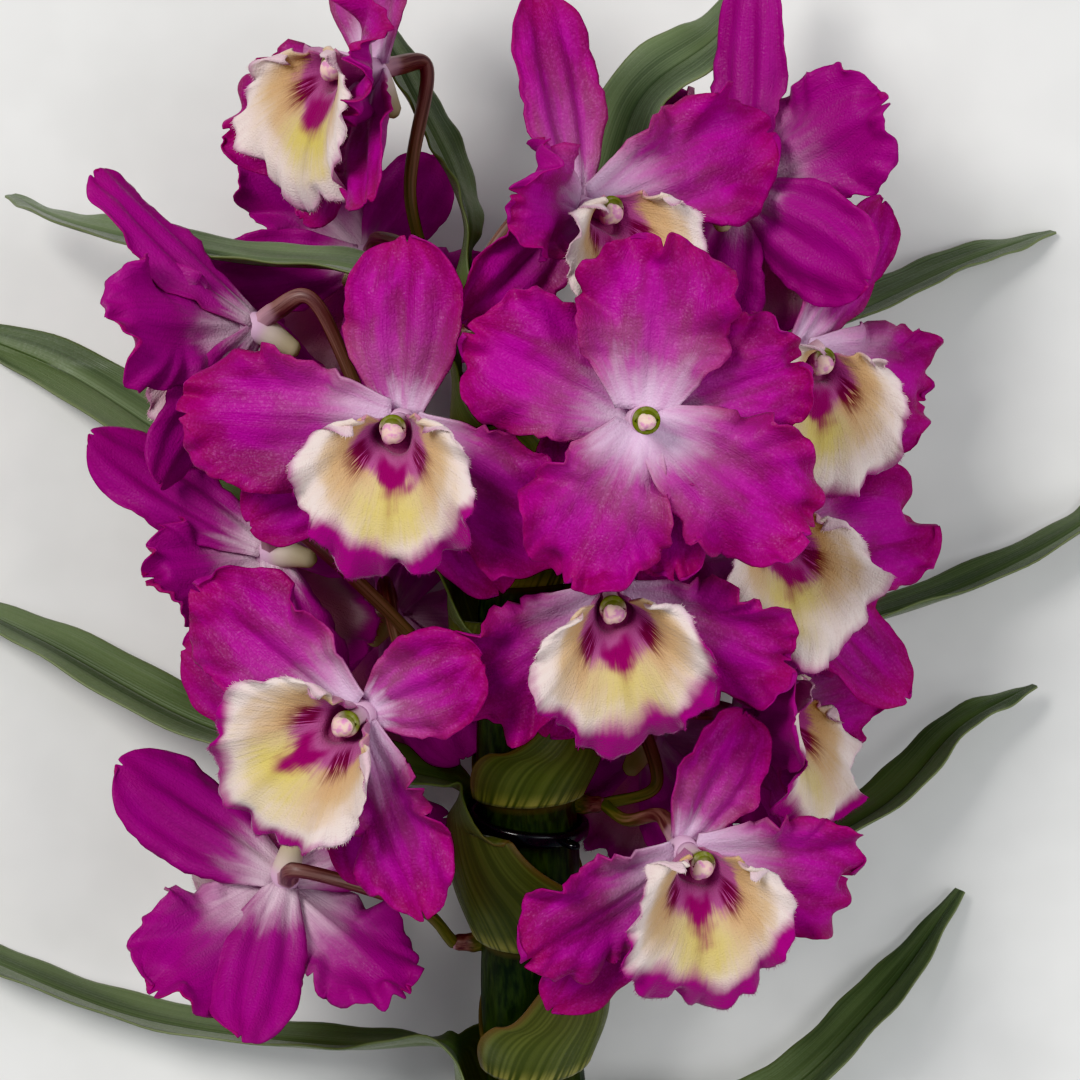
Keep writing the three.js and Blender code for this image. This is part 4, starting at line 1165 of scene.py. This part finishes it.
def leaf_line(leaf):
    """The leaf's middle line and its cross-section, as a function of how far along it a station is."""
    foot, top = CANE_NODES[leaf["ring"]] + 1.2, CANE_NODES[leaf["ring"] + 1] - 5
    sideward = np.array([leaf["side"], 0.0, 0.0])

    def wall(y, share):
        radius = cane_at(y)[2]
        off = radius / CANE_WAIST + SHEATH_GAP + SHEATH_FLARE * share
        return mix(radius + SHEATH_FOOT, off, float(smooth(share, -0.12, 0.4)))

    on_cane = []
    for share in (0, 0.5, 1):
        y = mix(foot, top, share)
        on_cane.append(cane_at(y)[0] + sideward * wall(y, share))
    points = on_cane + [np.array(p, float) for p in leaf["path"]]
    path = curve(points)
    sheath = 2 / (len(points) - 1)
    face = unit(leaf["face"])

    def station(u):
        along = max(0, (u - sheath) / (1 - sheath))
        share = min(1, u / sheath)
        y = mix(foot, top, share)
        tangent = toward(path, min(u, 0.9999))
        tangent = unit(mix(tangent, cane_at(y)[1], 1 - float(smooth(share, 0, 0.9))))
        turned = float(smooth(along, 0, 0.45))
        lower = sideward * (1 - turned) - face * turned
        lower = unit(lower - tangent * lower.dot(tangent))
        around = wall(y, share)
        wrapped = around * math.radians(mix(SHEATH_WRAP, MOUTH_WRAP, share))
        taper = math.sqrt(max(0, 1 - float(smooth(along, 0.55, 1.04)) ** 1.6))
        strap = leaf["width"] / 2 * max(0.16, mix(0.62, 1, float(smooth(along, 0.05, 0.45))) * taper)
        radius = mix(around, leaf["width"] * 1.1, float(smooth(along, 0, 0.3)))
        half = mix(wrapped, strap, float(smooth(along, 0, 0.14)))
        return path(u), lower, np.cross(tangent, lower), radius, half, along
    return station


print("the first leaf's blade is", round(2 * leaf_line(LEAVES[0])(0.7)[4], 1), "mm wide in its middle")


# %% Leaf finish
def leaf_blade(paint, v, edge, back, lines, patch):
    """Dull green with fine pale lines, painted shade in the groove down the middle and a pale edge."""
    green = paint.blend(paint.step(patch, 0.3, 0.7), colour(64, 76, 52), colour(98, 112, 78))
    green = paint.blend(paint.step(lines, 0.4, 0.75, 0.0, 0.35), green, colour(116, 130, 96))
    # Painted shade: the groove down the middle is darkened.
    middle = paint.step(paint.math("ABSOLUTE", v), 0.0, 0.07, 1.0, 0.0)
    green = paint.blend(paint.times(middle, 0.55), green, colour(30, 42, 22))
    green = paint.blend(paint.times(edge, 0.5), green, colour(118, 124, 84))
    return paint.blend(paint.times(back, 0.45), green, colour(104, 114, 74))


def leaf_sheath(paint, u, v, seed, edge, patch):
    """Olive, striped with straw, brown in patches, and straw at its foot."""
    stripe = paint.noise(paint.drawn(u, 0.3, v, 26.0, seed), 1.1, 1.0)
    straw = paint.blend(paint.step(stripe, 0.36, 0.7, 0.0, 0.55), colour(62, 70, 30), colour(108, 114, 62))
    brown = paint.times(patch, paint.math("SUBTRACT", 0.6, paint.step(u, 0.2, 0.0)))
    straw = paint.blend(brown, straw, colour(60, 48, 18))
    foot = paint.times(paint.step(u, 0.05, 0.0), paint.step(stripe, 0.35, 0.6))
    straw = paint.blend(foot, straw, colour(150, 144, 84))
    return paint.blend(paint.times(edge, 0.45), straw, colour(112, 66, 40))


def leaf_finish():
    material, paint, shader = finish(
        "leaf green", 0.45, Specular_IOR_Level=0.5, Sheen_Weight=0.15, Sheen_Roughness=0.4,
    )
    u, v, seed = paint.mark("place")
    sheath, edge, back = paint.mark("tone")
    glint, normal = cells_of(paint, 1500.0, 0.00008, 0.3)
    lines = paint.noise(paint.drawn(u, 0.6, v, 26.0, seed), 1.2, 1.0)
    patch = paint.noise(paint.drawn(u, 5.0, v, 1.5, seed), 1.0, 1.0)
    green = leaf_blade(paint, v, edge, back, lines, patch)
    straw = leaf_sheath(paint, u, v, seed, edge, patch)
    paint.join(paint.blend(sheath, green, straw), shader, "Base Color")
    paint.join(paint.relief(lines, 0.0003, 0.45, normal), shader, "Normal")
    paint.join(paint.step(glint, 0.2, 0.9, 0.56, 0.44), shader, "Roughness")
    return material


LEAF = leaf_finish()
print("leaf finish:", len(LEAF.node_tree.nodes), "nodes")

# %% Build the leaves
LEAF_MIDDLE, LEAF_EDGE = 0.8, 0.4  # how thick, in mm
for index, leaf in enumerate(LEAVES):
    chance = np.random.default_rng(500 + index)
    a, b, _ = chance.uniform(0, 2 * np.pi, 3)
    station = leaf_line(leaf)
    rounding = np.sin(np.linspace(0, np.pi / 2, 17)[1:])  # stations crowd towards the tip
    us = np.concatenate([np.linspace(0, 0.92, 84), 1 - 0.08 * (1 - rounding)])
    v = np.linspace(-1, 1, 27)
    rows, alongs = [], []
    for u in us:
        centre, lower, across, radius, half, along = station(u)
        turn = half * v / radius
        blade = float(smooth(along, 0.02, 0.25))
        crease = 0.7 * blade * np.exp(-((v / 0.13) ** 2)) * float(smooth(along, 1.0, 0.85))
        ripple = 0.35 * np.sin(26 * along + a + np.where(v > 0, 0, 2)) * v**2
        ripple = blade * (ripple + 0.25 * np.sin(61 * along + b) * np.abs(v) ** 3)
        down = -radius * (1 - np.cos(turn)) + crease + ripple
        rows.append(centre + np.outer(radius * np.sin(turn), across) + np.outer(down, lower))
        alongs.append(along)
    along = np.array(alongs)[:, None] + 0 * v
    sheath = 1 - smooth(along, 0.0, 0.1)
    edge = smooth(np.abs(v), 0.93, 1.0) + 0 * along
    thick = mix(LEAF_MIDDLE, LEAF_EDGE, np.broadcast_to(np.abs(v) ** 4, along.shape))
    place = marks(us[:, None], v[None], index * 5.1)
    skin = sheet(np.array(rows), thick, place, marks(sheath, edge, 0))
    piece(f"strap_leaf_{index + 1:02d}", [(skin, 0)], [LEAF], f"leaf_{index + 1:02d}")
print("leaves:", triangles["strap_leaf_01"], "triangles each")

# %% [markdown]
# ## Flower stalks
#
# A stalk leaves the cane at a ring, forks, and ends in the ribbed ovary behind each flower. It runs on a
# little past the plain solid's end, so that it meets the boss it grows from.

# %% Stalk finish
def stalk_finish():
    material, paint, shader = finish("stalk maroon", 0.45, Specular_IOR_Level=0.4)
    u, v, seed = paint.mark("place")
    streak = paint.noise(paint.drawn(u, 3.0, v, 5.0, seed), 1.4, 3.0)
    young = paint.blend(paint.step(streak, 0.35, 0.65), colour(84, 52, 54), colour(132, 98, 92))
    olive = paint.blend(paint.step(streak, 0.35, 0.65), colour(64, 68, 28), colour(116, 108, 64))
    skin = paint.blend(paint.step(paint.times(streak, 0.3, plus=u), 0.25, 0.75), olive, young)
    skin = paint.blend(paint.step(u, 0.88, 1.0), skin, colour(178, 138, 150))
    paint.join(skin, shader, "Base Color")
    paint.join(paint.relief(streak, 0.0003, 0.4), shader, "Normal")
    return material


STALK = stalk_finish()
print("stalk finish:", len(STALK.node_tree.nodes), "nodes")

# %% Build the stalks
STALK_RADIUS, OVARY_RADIUS = 1.3, 2.1
STALK_END = 7.8  # how far behind a flower's centre its stalk meets the boss, in mm
FOOT_LENGTH, FOOT_SUNK = 4.5, 0.35  # from the cane to the fork, and the share of it that starts in the cane
STALK_SIDES, OVARY_SIDES = 16, 18


def flower_stem(fork, bend, flower, seed):
    """From the fork through the bend to the flower, with the ovary's six ribs towards its end."""
    at, facing, top, _ = face_of(flower)
    end = at - facing * STALK_END + top * 2
    before = end - facing * 8 + top * 1.5
    route = curve([fork, np.array(bend, float), before, end], even=True)
    line = [route(share) for share in np.linspace(0, 1, 56)]
    line += [end + facing * ahead - top * sink for ahead, sink in ((1.5, 0.6), (3.0, 1.4), (4.4, 2.0))]
    shares = np.linspace(0, 1, len(line))
    swell = smooth(shares, 0.55, 0.88)
    ribs = 1 + 0.07 * np.cos(12 * np.pi * np.arange(OVARY_SIDES) / OVARY_SIDES)[None] * swell[:, None]
    radii = (mix(STALK_RADIUS, OVARY_RADIUS, swell) * (1 - 0.1 * np.sin(9 * shares)))[:, None] * ribs
    around = np.tile(2 * np.arange(OVARY_SIDES) / OVARY_SIDES - 1, len(line))
    return tube(line, radii, OVARY_SIDES, marks(np.repeat(shares, OVARY_SIDES), around, seed))


for number, stalk in enumerate(STALKS, 1):
    centre, _, radius = cane_at(CANE_NODES[stalk["ring"]] - 1.6)
    turn = math.radians(stalk["turn"])
    outward = np.array([stalk["side"] * math.cos(turn), 0, math.sin(turn)])
    start = centre + outward * (radius / CANE_WAIST + GAP)
    fork = start + outward * FOOT_LENGTH
    shares = np.linspace(-FOOT_SUNK, 1, 12)
    swollen = 1.35 + 0.25 * np.exp(-(((shares - 0.1) / 0.2) ** 2)) - 0.25 * smooth(shares, 0.75, 1.0)
    foot = tube([mix(start, fork, share) for share in shares], STALK_RADIUS * swollen, STALK_SIDES)
    stems = [flower_stem(fork, bend, FLOWERS[index], index * 2.9) for index, bend in stalk["flowers"]]
    skins = [(skin, 0) for skin in (foot, *stems)]
    piece(f"flower_stalk_{number:02d}", skins, [STALK], f"stalk_{number:02d}")
print("stalks:", sum(n for name, n in triangles.items() if name.startswith("flower_stalk")), "triangles")

# %% [markdown]
# ## The plant clip
#
# A snap ring of moulded black plastic stands round the cane, a little askew. A moulded part has no sharp
# edges, so the ring's section is a rounded rectangle, swept round, and its grip is a round bar bent into
# an eyelet.

# %% Clip finish
def clip_finish():
    material, paint, shader = finish("clip black", 0.28, Specular_IOR_Level=0.5)
    grain = paint.noise(paint.where(), 1800.0, 2.0)
    wear = paint.noise(paint.where(), 120.0, 3.0)
    black = paint.blend(paint.step(wear, 0.4, 0.7), colour(14, 14, 15), colour(34, 34, 35))
    paint.join(black, shader, "Base Color")
    paint.join(paint.relief(grain, 0.00005, 0.3), shader, "Normal")
    paint.join(paint.step(wear, 0.3, 0.8, 0.22, 0.4), shader, "Roughness")
    return material


CLIP = clip_finish()
print("clip finish:", len(CLIP.node_tree.nodes), "nodes")

# %% Build the clip
CLIP_HEIGHT, CLIP_WALL, CLIP_TALL = -57.2, 2, 3
CLIP_SKEW, CLIP_TURN = math.radians(8), math.radians(-50)
CLIP_STEPS, CLIP_SIDES = 72, 16


def rounded(wide, tall, sides):
    """A closed rounded rectangle, as pairs of numbers."""
    turn = 2 * np.pi * np.arange(sides) / sides
    c, s = np.cos(turn), np.sin(turn)
    size = (np.abs(c) ** 4 + np.abs(s) ** 4) ** -0.25
    return np.stack([wide / 2 * c * size, tall / 2 * s * size], 1)


def clip_ring(inner):
    """The ring's points and faces. It is a little thicker at the side away from the eyelet."""
    section = rounded(CLIP_WALL, CLIP_TALL, CLIP_SIDES)
    turns = 2 * np.pi * np.arange(CLIP_STEPS) / CLIP_STEPS
    points = []
    for t in turns:
        k = 1 + 0.12 * np.exp(-(((t - np.pi) / 0.35) ** 2))
        across = inner + CLIP_WALL / 2 + section[:, 0] * k
        points.append(np.stack([across * math.cos(t), section[:, 1] * k, across * math.sin(t)], 1))
    i, j = np.meshgrid(np.arange(CLIP_STEPS), np.arange(CLIP_SIDES), indexing="ij")
    here, on = i * CLIP_SIDES, (i + 1) % CLIP_STEPS * CLIP_SIDES
    beside = (j + 1) % CLIP_SIDES
    faces = np.stack([here + j, here + beside, on + beside, on + j], -1).reshape(-1, 4)
    return np.concatenate(points), [faces]


def clip_eyelet(inner):
    """A round bar that is bent to a rounded square, closed where it meets itself."""
    line = [(inner + CLIP_WALL + 1.4 + x, 0, z) for x, z in rounded(3.6, 2.8, 32)]
    return tube([*line, *line[:2]], np.full(34, 0.72), 12)[:2]


centre, heading, radius = cane_at(CLIP_HEIGHT)
inner = (radius + GAP) / math.cos(CLIP_SKEW)
upright = Vector((0, 1, 0)).rotation_difference(Vector(heading)).to_matrix().to_4x4()
askew, turned = Matrix.Rotation(-CLIP_SKEW, 4, "Z"), Matrix.Rotation(CLIP_TURN, 4, "Y")
move = np.array(Matrix.Translation(Vector(centre)) @ upright @ askew @ turned)
skins = []
for points, blocks in (clip_ring(inner), clip_eyelet(inner)):
    placed = points @ move[:3, :3].T + move[:3, 3]
    blank = np.zeros((len(points), 3))
    skins.append(((placed, blocks, blank, blank), 0))
piece("clip_moulded", skins, [CLIP], "clip")
print("clip:", triangles["clip_moulded"], "triangles")

# %% [markdown]
# ## Floor, light and camera
#
# The plant lies on a plain pale floor. A wide soft lamp on the upper left gives it form, a weaker one on
# the right fills the shadows, and the pale sky does the rest. The camera looks straight down from 730 mm.

# %% The floor
def floor_finish():
    material, paint, shader = finish("pale plaster", 0.85, Specular_IOR_Level=0.2)
    grain = paint.noise(paint.where(), 60.0, 2.0)
    broad = paint.noise(paint.where(), 4.0, 1.0)
    tone = paint.blend(paint.step(broad, 0.3, 0.7), colour(218, 217, 214), colour(225, 224, 221))
    tone = paint.blend(paint.step(grain, 0.3, 0.7, 0.0, 0.3), tone, colour(208, 207, 204))
    paint.join(tone, shader, "Base Color")
    paint.join(paint.relief(grain, 0.0006, 0.15), shader, "Normal")
    return material


FLOOR_REACH = 3  # how far the floor runs to each side, in metres
ground = bpy.data.meshes.new("floor")
corners = [(x * FLOOR_REACH, y * FLOOR_REACH, 0) for x, y in ((-1, -1), (1, -1), (1, 1), (-1, 1))]
ground.from_pydata(corners, [], [(0, 1, 2, 3)])
ground.materials.append(floor_finish())
floor = show("floor", ground)
print("the floor is", 2 * FLOOR_REACH, "m wide")


# %% Light
def lamp(name, place, size, power, tint):
    data = bpy.data.lights.new(name, "AREA")
    data.shape = "DISK"
    data.size = size
    data.energy = power
    data.color = tint
    made = show(name, data)
    made.location = place
    made.rotation_euler = (Vector((0, 0, 0.05)) - Vector(place)).to_track_quat("-Z", "Y").to_euler()


lamp("window", (-0.5, 0.4, 0.95), 0.45, 9.2, (1, 0.99, 0.97))
lamp("fill", (0.75, 0.0, 0.9), 0.9, 6.2, (0.96, 0.98, 1))
world = bpy.data.worlds.new("sky")
world.use_nodes = True
sky = world.node_tree.nodes["Background"].inputs
sky["Color"].default_value = colour(226, 230, 236)
sky["Strength"].default_value = 0.54
bpy.context.scene.world = world
bpy.context.scene.view_settings.view_transform = "Khronos PBR Neutral"
print("lamps:", [light.name for light in bpy.data.lights])

# %% Camera
EYE_HEIGHT = 0.73  # in metres, so that near flowers show larger than the leaves below them
lens = bpy.data.cameras.new("camera")
lens.sensor_width = 36
lens.lens = 113.3
eye = show("camera", lens)
eye.location = (SHIFT[0] * MM, SHIFT[1] * MM, EYE_HEIGHT)
bpy.context.scene.camera = eye
print("in all:", sum(triangles.values()), "triangles, the most in", max(triangles, key=triangles.get))
